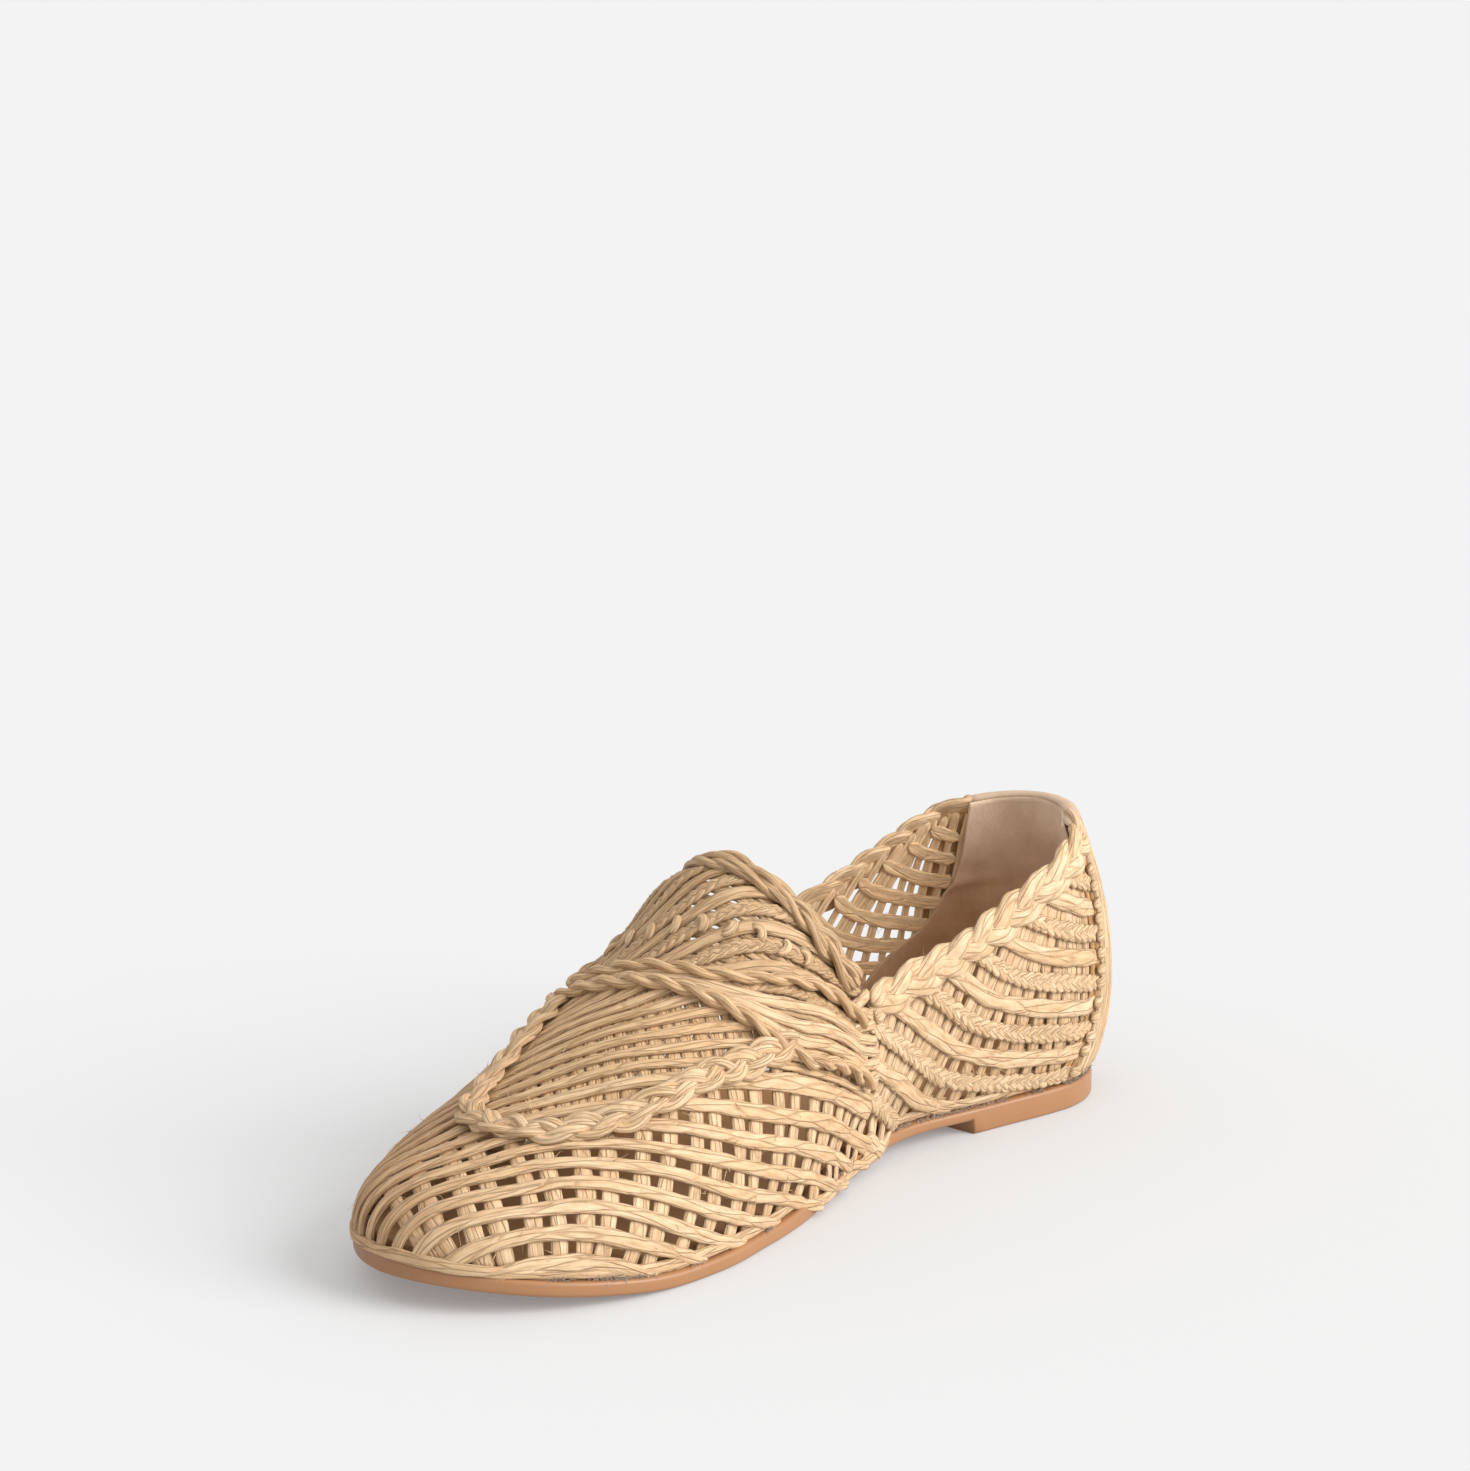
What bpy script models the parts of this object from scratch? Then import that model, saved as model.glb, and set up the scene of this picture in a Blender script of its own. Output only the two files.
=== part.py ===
"""Woven raffia loafer, right shoe, standing empty on its sole.

Sizes are millimetres in the shoe's own axes: x runs from the heel end of the sole to its toe, y
towards the inner side of the foot and z up from the floor. MM and BOX_MIDDLE bring them into the
model's frame, in metres, with the origin under the middle of the shoe.
"""
import math

import bpy
import numpy as np

for old in list(bpy.data.objects):
    bpy.data.objects.remove(old)

MM = 0.001
OBJECT_NAME = "woven_loafer"

# Driving sizes
SOLE_LENGTH = 250.0
BOX_MIDDLE = (120.7, 1.95)
HEEL_BREAST = 68.0
BREAST_LEAN = 0.5
EDGE_ROUND = 0.8
SOLE_MARGIN = 1.2
SOLE_HEEL_END = 2.5
PIECE_GAP = 0.3
UPPER_SEAT = 0.4
WALL = 2.4
STRIP_RISE = 0.8
INSOLE_THICKNESS = 2.5
INSOLE_INSET = 3.2
INSOLE_SECTIONS = 26
# Sections of the sole: stations between its round ends, sections in each end, first turn of an end
SOLE_STATIONS = (50.0, 85.0, 100.0, 112.0, 125.0, 137.0, 150.0, 165.0, 180.0, 195.0)
HEEL_SECTIONS = 8
TOE_SECTIONS = 13
END_TURN = 0.12

# The last's nose and heel
UPPER_TIP = 248.5
NOSE_START = 185.0
NOSE_PLAN_POWER = 2.5
NOSE_RIDGE_POWER = 3.0
HEEL_CENTRE = 34.0
HEEL_DEPTH = 40.0
HEEL_PLAN_POWER = 2.2
BULGE_LEVEL = 0.33

# Side seam and throat of the upper
SEAM_X = 113.0
THROAT_X = 132.0

# Sections of the last: station, half widths at the feather line to the inner and outer side,
# ridge height over the feather line, fullness of the shoulder, side bulge, centre line's curve
LAST_COLUMNS = ("x", "inner", "outer", "ridge", "full", "bulge", "centre")
LAST = (
    (0, 28.5, 28.0, 90.5, 3.0, 2.5, 0.0),
    (30, 29.0, 29.0, 90.5, 3.0, 3.5, 0.0),
    (60, 25.5, 29.5, 88.5, 2.8, 4.5, 0.0),
    (90, 21.5, 31.0, 82.5, 2.4, 5.5, 0.0),
    (115, 25.0, 35.0, 75.8, 2.15, 5.5, 0.0),
    (140, 34.0, 39.0, 71.3, 2.0, 3.5, 0.5),
    (165, 40.5, 42.0, 55.3, 2.0, 1.5, 1.0),
    (185, 43.0, 43.0, 43.7, 2.1, 0.5, 2.0),
    (205, 43.0, 41.5, 32.8, 2.3, 0.5, 2.5),
    (225, 41.5, 38.5, 26.8, 2.5, 0.5, 3.5),
    (250, 38.0, 34.5, 23.3, 2.6, 0.5, 4.5),
)
# Feather line, where upper and sole meet: station, height
FEATHER = (
    (0, 7.2), (40, 7.2), (70, 7.2), (100, 7.4), (140, 4.9), (165, 3.9), (195, 3.9), (220, 6.3), (250, 10.9),
)
# Underside of the sole in front of the heel: station, height
UNDERSIDE = (
    (68, 3.7), (85, 3.9), (100, 3.6), (125, 1.9), (150, 0.0), (195, 0.0), (220, 2.4), (250, 7.0),
)
# Back curve of the heel: height, station
HEEL_CURVE = (
    (0, 3.5), (7, 3.5), (13.5, -1.5), (22.5, -5.0), (33, -6.3), (45.5, -5.0), (57.5, -1.8), (69.5, 2.8),
    (87, 8.5),
)
# Collar: station, height of its edge
COLLAR = ((-10, 79.5), (19, 74.8), (42, 67.3), (58, 60.8), (77, 54.3), (97, 49.8), (113, 47.8))

# Rows of the weave on the vamp. A row keeps one number k: it leaves the centre line at the toe and
# dives to the feather line at the waist, by the spread; reach is the depth of the axis it turns about.
ROW_SCALE = 0.1287
ROW_GROWTH = 0.233
SPREAD = (
    (112, 3.75), (130, 2.7), (150, 1.8), (165, 1.3), (180, 1.0), (190, 0.81), (200, 0.65), (210, 0.58),
    (250, 0.58),
)
REACH = ((112, 18.0), (200, 18.0), (215, 30.0), (230, 70.0), (245, 150.0), (250, 150.0))
TOE_ROW_SPACING = 2.15
TOE_ROWS = ((0, 0.0), (190, 0.0), (225, 1.0), (250, 1.0))
# Raised strips by row number: those that end at the throat, those that run round the heel,
# and those that end at the waist
THROAT_STRIPS = (0.0, 1.3)
ROUND_STRIPS = (2.6, 3.36, 4.12, 4.88, 5.64, 6.4)
WAIST_STRIPS = (7.6, 8.8, 10.0, 11.2, 12.4)
STRIP_HALF = 0.3
ROW_FINENESS = 240
VAMP_STEPS = 14
HEEL_STEPS = 28
GAP_SHARE = 0.58

# Overlays on the upper: their gap from it, and how thin they get at their edges
OVERLAY_GAP = 0.5
OVERLAY_EDGE = 0.4
OVERLAY_REACH = 18.0
BRAID_THICKNESS = 2.4
BRAID_LINES = 5
PATH_FINENESS = 8
LUMP_DIP = 0.35
# Braid round the plug, from its inner end round the toe to its outer end: station and turn from
# upright in degrees; the plug lies nearer the inner side
PLUG_COLUMNS = ("x", "turn")
PLUG = (
    (157, 29.5), (170, 29.0), (182, 28.3), (192, 27.6), (202, 25.5), (210, 21.5), (215.5, 13.0), (218, 2.0),
    (216, -8.5), (210, -13.5), (202, -16.5), (190, -17.5), (180.5, -17.5),
)
PLUG_WIDTH = 7.5
PLUG_STEPS = 48
THROAT_WIDTH = 7.0
THROAT_STEPS = 22
THROAT_END = 2.25
THROAT_TAPER = 0.55
COLLAR_WIDTH = 10.0
COLLAR_LIP = 0.4
COLLAR_STEPS = 22
COLLAR_START = 2.0
COLLAR_TURN = 60.5
# Saddle, from the inner to the outer side seam: station and turn of its rear edge, then of its front edge
SADDLE_COLUMNS = ("rear_x", "rear_turn", "front_x", "front_turn")
SADDLE = (
    (116, 26.5, 117, 41.0),
    (123, 22.8, 126, 38.3),
    (131, 20.0, 135, 37.0),
    (141, 18.0, 143.5, 36.0),
    (150.5, 15.6, 151, 32.0),
    (157.5, 12.0, 157, 25.5),
    (162, 7.0, 163, 17.0),
    (165, 0.0, 169.5, 5.0),
    (167, -8.0, 173.5, -6.5),
    (167, -16.0, 174.5, -16.5),
    (161, -21.5, 169.5, -25.5),
    (150, -24.0, 158, -32.5),
    (134, -25.5, 140, -37.5),
    (116, -28.0, 117, -41.0),
)
# Height of the saddle across its width: two ropes, and a lattice between them
SADDLE_ROPES = (0.4, 1.0, 0.4, 0.6, 0.4, 1.0, 0.4)
SADDLE_STEPS = 34
SADDLE_THICKNESS = 2.4
# Heel counter: height share from feather line to collar, half turn round the heel in degrees
COUNTER = ((0.0, 84.0), (0.15, 74.0), (0.4, 65.0), (0.7, 61.0), (1.0, 57.5))
COUNTER_THICKNESS = 1.4
COUNTER_RIBS = 13
COUNTER_LEVELS = (0.0, 0.06, 0.13, 0.22, 0.36, 0.56, 0.78, 1.0)
COUNTER_FOOT = 2.0

COLOURS = {
    "raffia": ((0.70, 0.49, 0.25), 0.7),
    "sole": ((0.56, 0.29, 0.14), 0.45),
    "insole": ((0.52, 0.38, 0.25), 0.8),
    "counter": ((0.62, 0.43, 0.24), 0.75),
}


def smooth(table, column, at):
    """A table's column read at the given places along a curve that keeps its flats level."""
    places = np.array([row[0] for row in table], float)
    values = np.array([row[column] for row in table], float)
    steps = np.diff(places)
    slopes = np.diff(values) / steps
    before, after = slopes[:-1], slopes[1:]
    same_way = before * after > 0
    total = np.where(same_way, before + after, 1.0)
    tangents = np.empty_like(values)
    tangents[1:-1] = np.where(same_way, 2.0 * before * after / total, 0.0)
    tangents[0], tangents[-1] = slopes[0], slopes[-1]
    at = np.clip(np.asarray(at, float), places[0], places[-1])
    i = np.clip(np.searchsorted(places, at, side="right") - 1, 0, len(steps) - 1)
    t = (at - places[i]) / steps[i]
    rise = 3 * t**2 - 2 * t**3
    lead = (t**3 - 2 * t**2 + t) * steps[i] * tangents[i]
    trail = (t**3 - t**2) * steps[i] * tangents[i + 1]
    return values[i] * (1 - rise) + values[i + 1] * rise + lead + trail


def last_value(name, x):
    return smooth(LAST, LAST_COLUMNS.index(name), x)


def feather(x):
    return smooth(FEATHER, 1, x)


def side_width(x, side):
    """Half width at the feather line before the nose closes it, on the inner (+) or outer (-) side."""
    return np.where(side > 0, last_value("inner", x), last_value("outer", x))


def nose(x, tip, power):
    """Share of the width or height that the rounded nose leaves at a station."""
    reach = np.clip((x - NOSE_START) / (tip - NOSE_START), 0.0, 1.0)
    return np.sqrt(np.maximum(1.0 - reach**power, 0.0))


def heel_round(x, back):
    """Share of the width that the rounded heel leaves at a station, for a heel that ends at back."""
    reach = np.clip((HEEL_CENTRE - x) / (HEEL_CENTRE - back), 0.0, 1.0)
    return np.sqrt(np.maximum(1.0 - reach**HEEL_PLAN_POWER, 0.0))


def half_width(x, z, side):
    """Half width of the last at a station and height; negative outside its length or height."""
    floor = feather(x)
    height = last_value("ridge", x) * nose(x, UPPER_TIP, NOSE_RIDGE_POWER)
    level = np.clip((z - floor) / np.maximum(height, 1e-6), 0.0, 1.0)
    swell = level / BULGE_LEVEL
    width = side_width(x, side) + last_value("bulge", x) * swell * np.exp(1.0 - swell)
    back = smooth(HEEL_CURVE, 1, z)
    width = width * nose(x, UPPER_TIP, NOSE_PLAN_POWER) * heel_round(x, back)
    width = width * np.sqrt(np.maximum(1.0 - level ** last_value("full", x), 0.0))
    outside = (x < back) | (x > UPPER_TIP) | (z > floor + height)
    return np.where(outside, -1.0, width)


def leave(start, direction, furthest=260.0, halvings=34):
    """The points where straight lines from inside the last leave it, found by halving."""
    near = np.zeros(direction.shape[:-1])
    far = np.full(direction.shape[:-1], furthest)
    for _ in range(halvings):
        middle = (near + far) / 2
        x, y, z = np.moveaxis(start + direction * middle[..., None], -1, 0)
        off = y - last_value("centre", x)
        inside = np.abs(off) < half_width(x, z, np.where(off < 0, -1, 1))
        near = np.where(inside, middle, near)
        far = np.where(inside, far, middle)
    return start + direction * near[..., None]


def vamp_point(x, turn, reach):
    """Point of the vamp at a station, on a line turned from upright about an axis reach below."""
    x, turn, reach = np.broadcast_arrays(*(np.asarray(v, float) for v in (x, turn, reach)))
    start = np.stack([x, last_value("centre", x), feather(x) - reach], -1)
    direction = np.stack([np.zeros_like(x), np.sin(turn), np.cos(turn)], -1)
    return leave(start, direction)


def heel_point(turn, z):
    """Point of the heel at a height, on a level line turned from straight back about its centre."""
    turn, z = np.broadcast_arrays(np.asarray(turn, float), np.asarray(z, float))
    start = np.stack([np.full_like(z, HEEL_CENTRE), np.zeros_like(z), z], -1)
    direction = np.stack([-np.cos(turn), np.sin(turn), np.zeros_like(z)], -1)
    return leave(start, direction)


def side_point(x, z, side):
    """Point of the side wall at a station and height."""
    x, z = np.broadcast_arrays(np.asarray(x, float), np.asarray(z, float))
    return np.stack([x, last_value("centre", x) + side * half_width(x, z, np.full_like(x, side)), z], -1)


def row_offset(k, x):
    """How far from the centre line row k crosses the level of the feather line."""
    side = np.where(np.asarray(k) < 0, -1, 1)
    weave = ROW_SCALE * np.sinh(ROW_GROWTH * k) * smooth(SPREAD, 1, x) * side_width(x, side)
    share = smooth(TOE_ROWS, 1, x)
    return weave * (1 - share) + TOE_ROW_SPACING * k * share


def throat_station(k):
    """Station where row k starts: the throat's edge near the ridge, the side seam further down."""
    share = np.clip(abs(k) / ROUND_STRIPS[0], 0.0, 1.0)
    return SEAM_X + (THROAT_X - SEAM_X) * math.cos(share * math.pi / 2)


def row_points(k, shares, on_edge=False):
    """Points at the given shares of row k, from the throat, seam or waist to the toe's feather line."""
    nose_end = np.sin(np.linspace(0.0, math.pi / 2, ROW_FINENESS))
    x = throat_station(k) + (UPPER_TIP - throat_station(k)) * nose_end
    offset = row_offset(k, x)
    edge = side_width(x, 1 if k >= 0 else -1) * nose(x, UPPER_TIP, NOSE_PLAN_POWER)
    above = np.flatnonzero(np.abs(offset) <= edge)
    x, offset = x[above[0]:above[-1] + 1], offset[above[0]:above[-1] + 1]
    edge = edge[above[0]:above[-1] + 1]
    if on_edge:
        offset = np.copysign(edge, k)
    reach = smooth(REACH, 1, x)
    points = vamp_point(x, np.arctan2(offset, reach), reach)
    on_feather = np.stack([x, last_value("centre", x) + offset, feather(x) + UPPER_SEAT], -1)
    points = np.where((points[:, 2] < on_feather[:, 2])[:, None], on_feather, points)
    points[-1] = on_feather[-1]
    if abs(k) >= ROUND_STRIPS[-1]:
        points[0] = on_feather[0]
    along = np.concatenate([[0.0], np.cumsum(np.linalg.norm(np.diff(points, axis=0), axis=1))])
    wanted = along[-1] * shares
    return np.stack([np.interp(wanted, along, points[:, i]) for i in range(3)], -1)


def gap_steps(count):
    """Shares of a length at which wide gaps and narrow cords take turns."""
    widths = np.where(np.arange(count) % 2 == 0, GAP_SHARE, 1.0 - GAP_SHARE)
    return np.concatenate([[0.0], np.cumsum(widths)]) / widths.sum()


def strip_lines(strips):
    """Row numbers of the mesh lines, two valley lines between each pair of strips, and their heights."""
    numbers, heights = [strips[0]], [1.0]
    for low, high in zip(strips, strips[1:]):
        pitch = high - low
        numbers += [low + STRIP_HALF * pitch, high - STRIP_HALF * pitch, high]
        heights += [0.0, 0.0, 1.0]
    return numbers, heights


def collar_height(x):
    return smooth(COLLAR, 1, x)


def heel_column(side, length):
    """Column at a length back from the seam: its side and station, or its turn about the heel's centre."""
    straight = SEAM_X - HEEL_CENTRE
    if length <= straight:
        return side, SEAM_X - length, None
    return side, None, side * (math.pi / 2 - (length - straight) / HEEL_DEPTH)


def heel_columns(count):
    """Columns from the inner seam round the heel to the outer seam."""
    half = SEAM_X - HEEL_CENTRE + math.pi / 2 * HEEL_DEPTH
    along = gap_steps(count) * 2 * half
    return [heel_column(1, at) if at <= half else heel_column(-1, 2 * half - at) for at in along]


def column_point(column, z):
    side, x, turn = column
    return side_point(x, z, side) if turn is None else heel_point(turn, z)


def column_station(column):
    """Rough station of a column, for reading the collar and the feather line."""
    side, x, turn = column
    return x if turn is None else HEEL_CENTRE - HEEL_DEPTH * math.cos(turn)


def place(points):
    """Points of the shoe's axes as points of the model's frame, in metres."""
    return (np.asarray(points, float) - np.array([*BOX_MIDDLE, 0.0])) * MM


def material(name, key):
    colour, roughness = COLOURS[key]
    finish = bpy.data.materials.new(name)
    finish.use_nodes = True
    shader = finish.node_tree.nodes["Principled BSDF"]
    shader.inputs["Base Color"].default_value = (*colour, 1.0)
    shader.inputs["Roughness"].default_value = roughness
    shader.inputs["Metallic"].default_value = 0.0
    return finish


def new_object(name, key, vertices, faces):
    """A named mesh object of the shoe, with its own material, under the shoe's empty."""
    mesh = bpy.data.meshes.new(name)
    mesh.from_pydata(place(vertices).tolist(), [], faces)
    mesh.materials.append(material(name, key))
    mesh.shade_smooth()
    mesh.set_sharp_from_angle(angle=math.radians(40))
    piece = bpy.data.objects.new(name, mesh)
    shoe_parts.objects.link(piece)
    piece.parent = shoe_origin
    return piece


def thicken(piece, thickness, outwards, weights=None, least=1.0):
    """Gives an open surface its wall, thinner where the weights are low."""
    wall = piece.modifiers.new("wall", "SOLIDIFY")
    wall.thickness = thickness * MM
    wall.offset = 1.0 if outwards else -1.0
    wall.use_even_offset = False
    if weights is not None:
        group = piece.vertex_groups.new(name="raised")
        for index, weight in enumerate(weights):
            group.add([index], float(weight), "REPLACE")
        wall.vertex_group = group.name
        wall.thickness_vertex_group = least


def grid_faces(rows, columns):
    """Quads of a grid of points, facing the side from which rows run away and columns to the left."""
    quads = []
    for i in range(rows - 1):
        for j in range(columns - 1):
            a = i * columns + j
            quads.append((a, a + 1, a + columns + 1, a + columns))
    return quads


def ring_faces(rings, count):
    """Quads between closed rings of points, with both ends capped."""
    quads = []
    for i in range(rings - 1):
        for j in range(count):
            a, b = i * count + j, i * count + (j + 1) % count
            quads.append((a, a + count, b + count, b))
    quads.append(tuple(range(count)))
    quads.append(tuple(reversed(range((rings - 1) * count, rings * count))))
    return quads


def sole_stations():
    """Stations of the sole's sections, close together at its round ends and at the heel breast."""
    heel_turns = np.linspace(END_TURN, math.pi / 2, HEEL_SECTIONS)
    heel = SOLE_HEEL_END + (HEEL_CENTRE - SOLE_HEEL_END) * (1 - np.cos(heel_turns))
    breast = np.array([HEEL_BREAST - BREAST_LEAN, HEEL_BREAST])
    toe_start = SOLE_STATIONS[-1]
    toe_turns = np.linspace(0.0, math.pi / 2 - END_TURN / 2, TOE_SECTIONS)[1:]
    toe = toe_start + (SOLE_LENGTH - toe_start) * np.sin(toe_turns)
    return np.sort(np.concatenate([heel, breast, SOLE_STATIONS, toe]))


def sole_width(x, side, margin, heel_end, tip):
    width = side_width(x, side) + margin
    return width * nose(x, tip, NOSE_PLAN_POWER) * heel_round(x, heel_end)


def make_unit_sole():
    """Outsole moulded with its heel: one section after another from heel to toe."""
    x = sole_stations()
    top = feather(x) - PIECE_GAP
    bottom = np.where(x < HEEL_BREAST, 0.0, smooth(UNDERSIDE, 1, x))
    centre = last_value("centre", x)
    inner = sole_width(x, np.ones_like(x), SOLE_MARGIN, SOLE_HEEL_END, SOLE_LENGTH)
    outer = sole_width(x, -np.ones_like(x), SOLE_MARGIN, SOLE_HEEL_END, SOLE_LENGTH)
    round_in = np.minimum(EDGE_ROUND, 0.3 * inner)
    section = []
    for side, width in ((1, inner), (-1, outer)):
        half = [
            (0.5 * width, top),
            (width - round_in, top),
            (width, top - EDGE_ROUND),
            (width, bottom + EDGE_ROUND),
            (width - round_in, bottom),
            (0.5 * width, bottom),
        ]
        section += [(centre + side * y, z) for y, z in (half if side > 0 else reversed(half))]
    rings = np.stack([np.stack([x, y, z], -1) for y, z in section], 1)
    return new_object("unit_sole", "sole", rings.reshape(-1, 3), ring_faces(len(x), len(section)))


def inset_outline(side, inset):
    """Stations and half widths of the feather line, moved inwards by a distance along its normals."""
    back = HEEL_CURVE[1][1]
    x = back + (UPPER_TIP - back) * (1 - np.cos(np.linspace(0.0, math.pi, 400))) / 2
    y = sole_width(x, np.full_like(x, side), 0.0, back, UPPER_TIP)
    dx, dy = np.gradient(x), np.gradient(y)
    length = np.hypot(dx, dy)
    return x + dy / length * inset, y - dx / length * inset


def make_insole():
    """Board and sock on the sole, inside the upper's wall."""
    outlines = [inset_outline(side, INSOLE_INSET) for side in (1, -1)]
    start = max(x[y > 0].min() for x, y in outlines)
    end = min(x[y > 0].max() for x, y in outlines)
    turns = np.linspace(END_TURN, math.pi - END_TURN, INSOLE_SECTIONS)
    x = start + (end - start) * (1 - np.cos(turns)) / 2
    floor = feather(x)
    centre = last_value("centre", x)
    inner, outer = (np.interp(x, along, wide) for along, wide in outlines)
    top = floor + INSOLE_THICKNESS
    section = [(0.5 * inner, top), (inner, top), (inner, floor), (0.5 * inner, floor)]
    section += [(-0.5 * outer, floor), (-outer, floor), (-outer, top), (-0.5 * outer, top)]
    rings = np.stack([np.stack([x, centre + y, z], -1) for y, z in section], 1)
    return new_object("insole", "insole", rings.reshape(-1, 3), ring_faces(len(x), len(section)))


def sunk(points, heights, normals):
    """Valley lines lie lower than the strips."""
    return points - normals * (1.0 - np.asarray(heights))[:, None, None] * STRIP_RISE


def grid_normals(points):
    """Outward normals of a grid of points, from the differences between its neighbours."""
    across = np.gradient(points, axis=0)
    along = np.gradient(points, axis=1)
    normal = np.cross(along, across)
    return normal / np.maximum(np.linalg.norm(normal, axis=-1, keepdims=True), 1e-9)


def make_upper():
    """Woven wall: strips from toe to throat, waist and round the heel, with gaps between them."""
    half = THROAT_STRIPS + ROUND_STRIPS + WAIST_STRIPS
    numbers, heights = strip_lines([-k for k in half[:0:-1]] + list(half))
    steps = gap_steps(VAMP_STEPS)
    rows = [row_points(k, steps) for k in numbers]
    edges = [row_points(k, steps, on_edge=True) for k in (numbers[0], numbers[-1])]
    vamp = np.stack(edges[:1] + rows + edges[1:])
    numbers = [2 * numbers[0]] + numbers + [2 * numbers[-1]]
    heights = [1.0] + heights + [1.0]
    vamp = sunk(vamp, heights, grid_normals(vamp))
    lines, stations = vamp.shape[:2]

    first = numbers.index(ROUND_STRIPS[0])
    last = numbers.index(ROUND_STRIPS[-1])
    hoops = list(range(first, last + 1))
    mirror = [lines - 1 - i for i in hoops]
    columns = heel_columns(HEEL_STEPS)
    share_in = (vamp[hoops, 0, 2] - feather(SEAM_X)) / (collar_height(SEAM_X) - feather(SEAM_X))
    share_out = (vamp[mirror, 0, 2] - feather(SEAM_X)) / (collar_height(SEAM_X) - feather(SEAM_X))
    rear = []
    for index, column in enumerate(columns[1:-1], start=1):
        mix = index / (len(columns) - 1)
        share = share_in * (1 - mix) + share_out * mix
        share = (share - share[-1]) / (share[0] - share[-1])
        station = column_station(column)
        low = feather(station) + UPPER_SEAT
        rear.append(column_point(column, low + share * (collar_height(station) - low)))
    rear = np.stack(rear, 1)
    hoop_heights = [heights[i] for i in hoops]
    rear = sunk(rear, hoop_heights, -grid_normals(rear))

    vertices = np.concatenate([vamp.reshape(-1, 3), rear.reshape(-1, 3)])
    weights = np.concatenate([np.repeat(heights, stations), np.repeat(hoop_heights, rear.shape[1])])

    def is_gap(line, step, low_step, high_step):
        return heights[line] == 0 == heights[line + 1] and step % 2 == 0 and low_step <= step <= high_step

    faces = []
    waist_lines = [i for i, k in enumerate(numbers) if ROUND_STRIPS[-1] <= abs(k)]
    for i in range(lines - 1):
        for j in range(stations - 1):
            if i in waist_lines and i + 1 in waist_lines and is_gap(i, j, 2, stations - 4):
                continue
            a = i * stations + j
            faces.append((a, a + 1, a + stations + 1, a + stations))

    def rear_index(hoop, column):
        if column == 0:
            return hoops[hoop] * stations
        if column == len(columns) - 1:
            return mirror[hoop] * stations
        return lines * stations + hoop * rear.shape[1] + column - 1

    for i in range(len(hoops) - 1):
        for j in range(len(columns) - 1):
            if is_gap(hoops[i], j, 2, len(columns) - 4):
                continue
            column_pair = (rear_index(i, j), rear_index(i + 1, j))
            faces.append(column_pair + (rear_index(i + 1, j + 1), rear_index(i, j + 1)))
    upper = new_object("upper", "raffia", vertices, faces)
    thicken(upper, WALL, False, weights, (WALL - STRIP_RISE) / WALL)
    return upper


def overlay_point(points):
    """The points of the vamp over or under the given ones, on lines from the overlays' axis."""
    x = points[..., 0]
    rise = points[..., 2] - (feather(x) - OVERLAY_REACH)
    return vamp_point(x, np.arctan2(points[..., 1] - last_value("centre", x), rise), OVERLAY_REACH)


def ribbon(path, offsets):
    """Grid on the vamp: lines beside a path, at the given offsets from it, a row of them per line."""
    along = np.gradient(path, axis=0)
    x = path[:, 0]
    outwards = path - np.stack([x, last_value("centre", x), feather(x)], -1)
    aside = np.cross(outwards, along)
    aside /= np.linalg.norm(aside, axis=1, keepdims=True)
    return overlay_point(path[None] + aside[None] * offsets[..., None])


def even(path, count):
    """A path's points spread evenly along it."""
    along = np.concatenate([[0.0], np.cumsum(np.linalg.norm(np.diff(path, axis=0), axis=1))])
    wanted = np.linspace(0.0, along[-1], count)
    return np.stack([np.interp(wanted, along, path[:, i]) for i in range(3)], -1)


def crown(lines):
    """Height of a braid across its width: full in the middle, thin at both edges."""
    across = np.linspace(-1.0, 1.0, lines)
    return OVERLAY_EDGE + (1.0 - OVERLAY_EDGE) * np.sqrt(1.0 - across**2)


def braid_height(lines, steps):
    """Height of a braid: a crown across, and lumps that take turns from side to side along it."""
    turn = np.arange(lines)[:, None] + np.arange(steps)[None]
    return crown(lines)[:, None] * np.where(turn % 2 == 0, 1.0, 1.0 - LUMP_DIP)


def make_overlay(name, key, grid, heights, thickness):
    """A closed pad on a grid of points of the upper's surface, as thick as its heights say."""
    lines, steps = grid.shape[:2]
    normals = grid_normals(grid)
    base = grid + normals * OVERLAY_GAP
    pad = new_object(name, key, base.reshape(-1, 3), grid_faces(lines, steps))
    thicken(pad, thickness, True, heights.reshape(-1), 0.0)
    return pad


def make_plug_braid():
    """Raised braid that joins the plug to the vamp's wall, from the inner side round the toe's end."""
    marks = np.arange(len(PLUG))
    table = [(mark, *row) for mark, row in zip(marks, PLUG)]
    at = np.linspace(0.0, marks[-1], PATH_FINENESS * len(PLUG))
    x, turn = (smooth(table, 1 + PLUG_COLUMNS.index(name), at) for name in PLUG_COLUMNS)
    path = even(vamp_point(x, np.radians(turn), OVERLAY_REACH), PLUG_STEPS)
    offsets = np.linspace(-0.5, 0.5, BRAID_LINES)[:, None] * PLUG_WIDTH
    heights = braid_height(BRAID_LINES, PLUG_STEPS)
    return make_overlay("plug_braid", "raffia", ribbon(path, offsets), heights, BRAID_THICKNESS)


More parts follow.
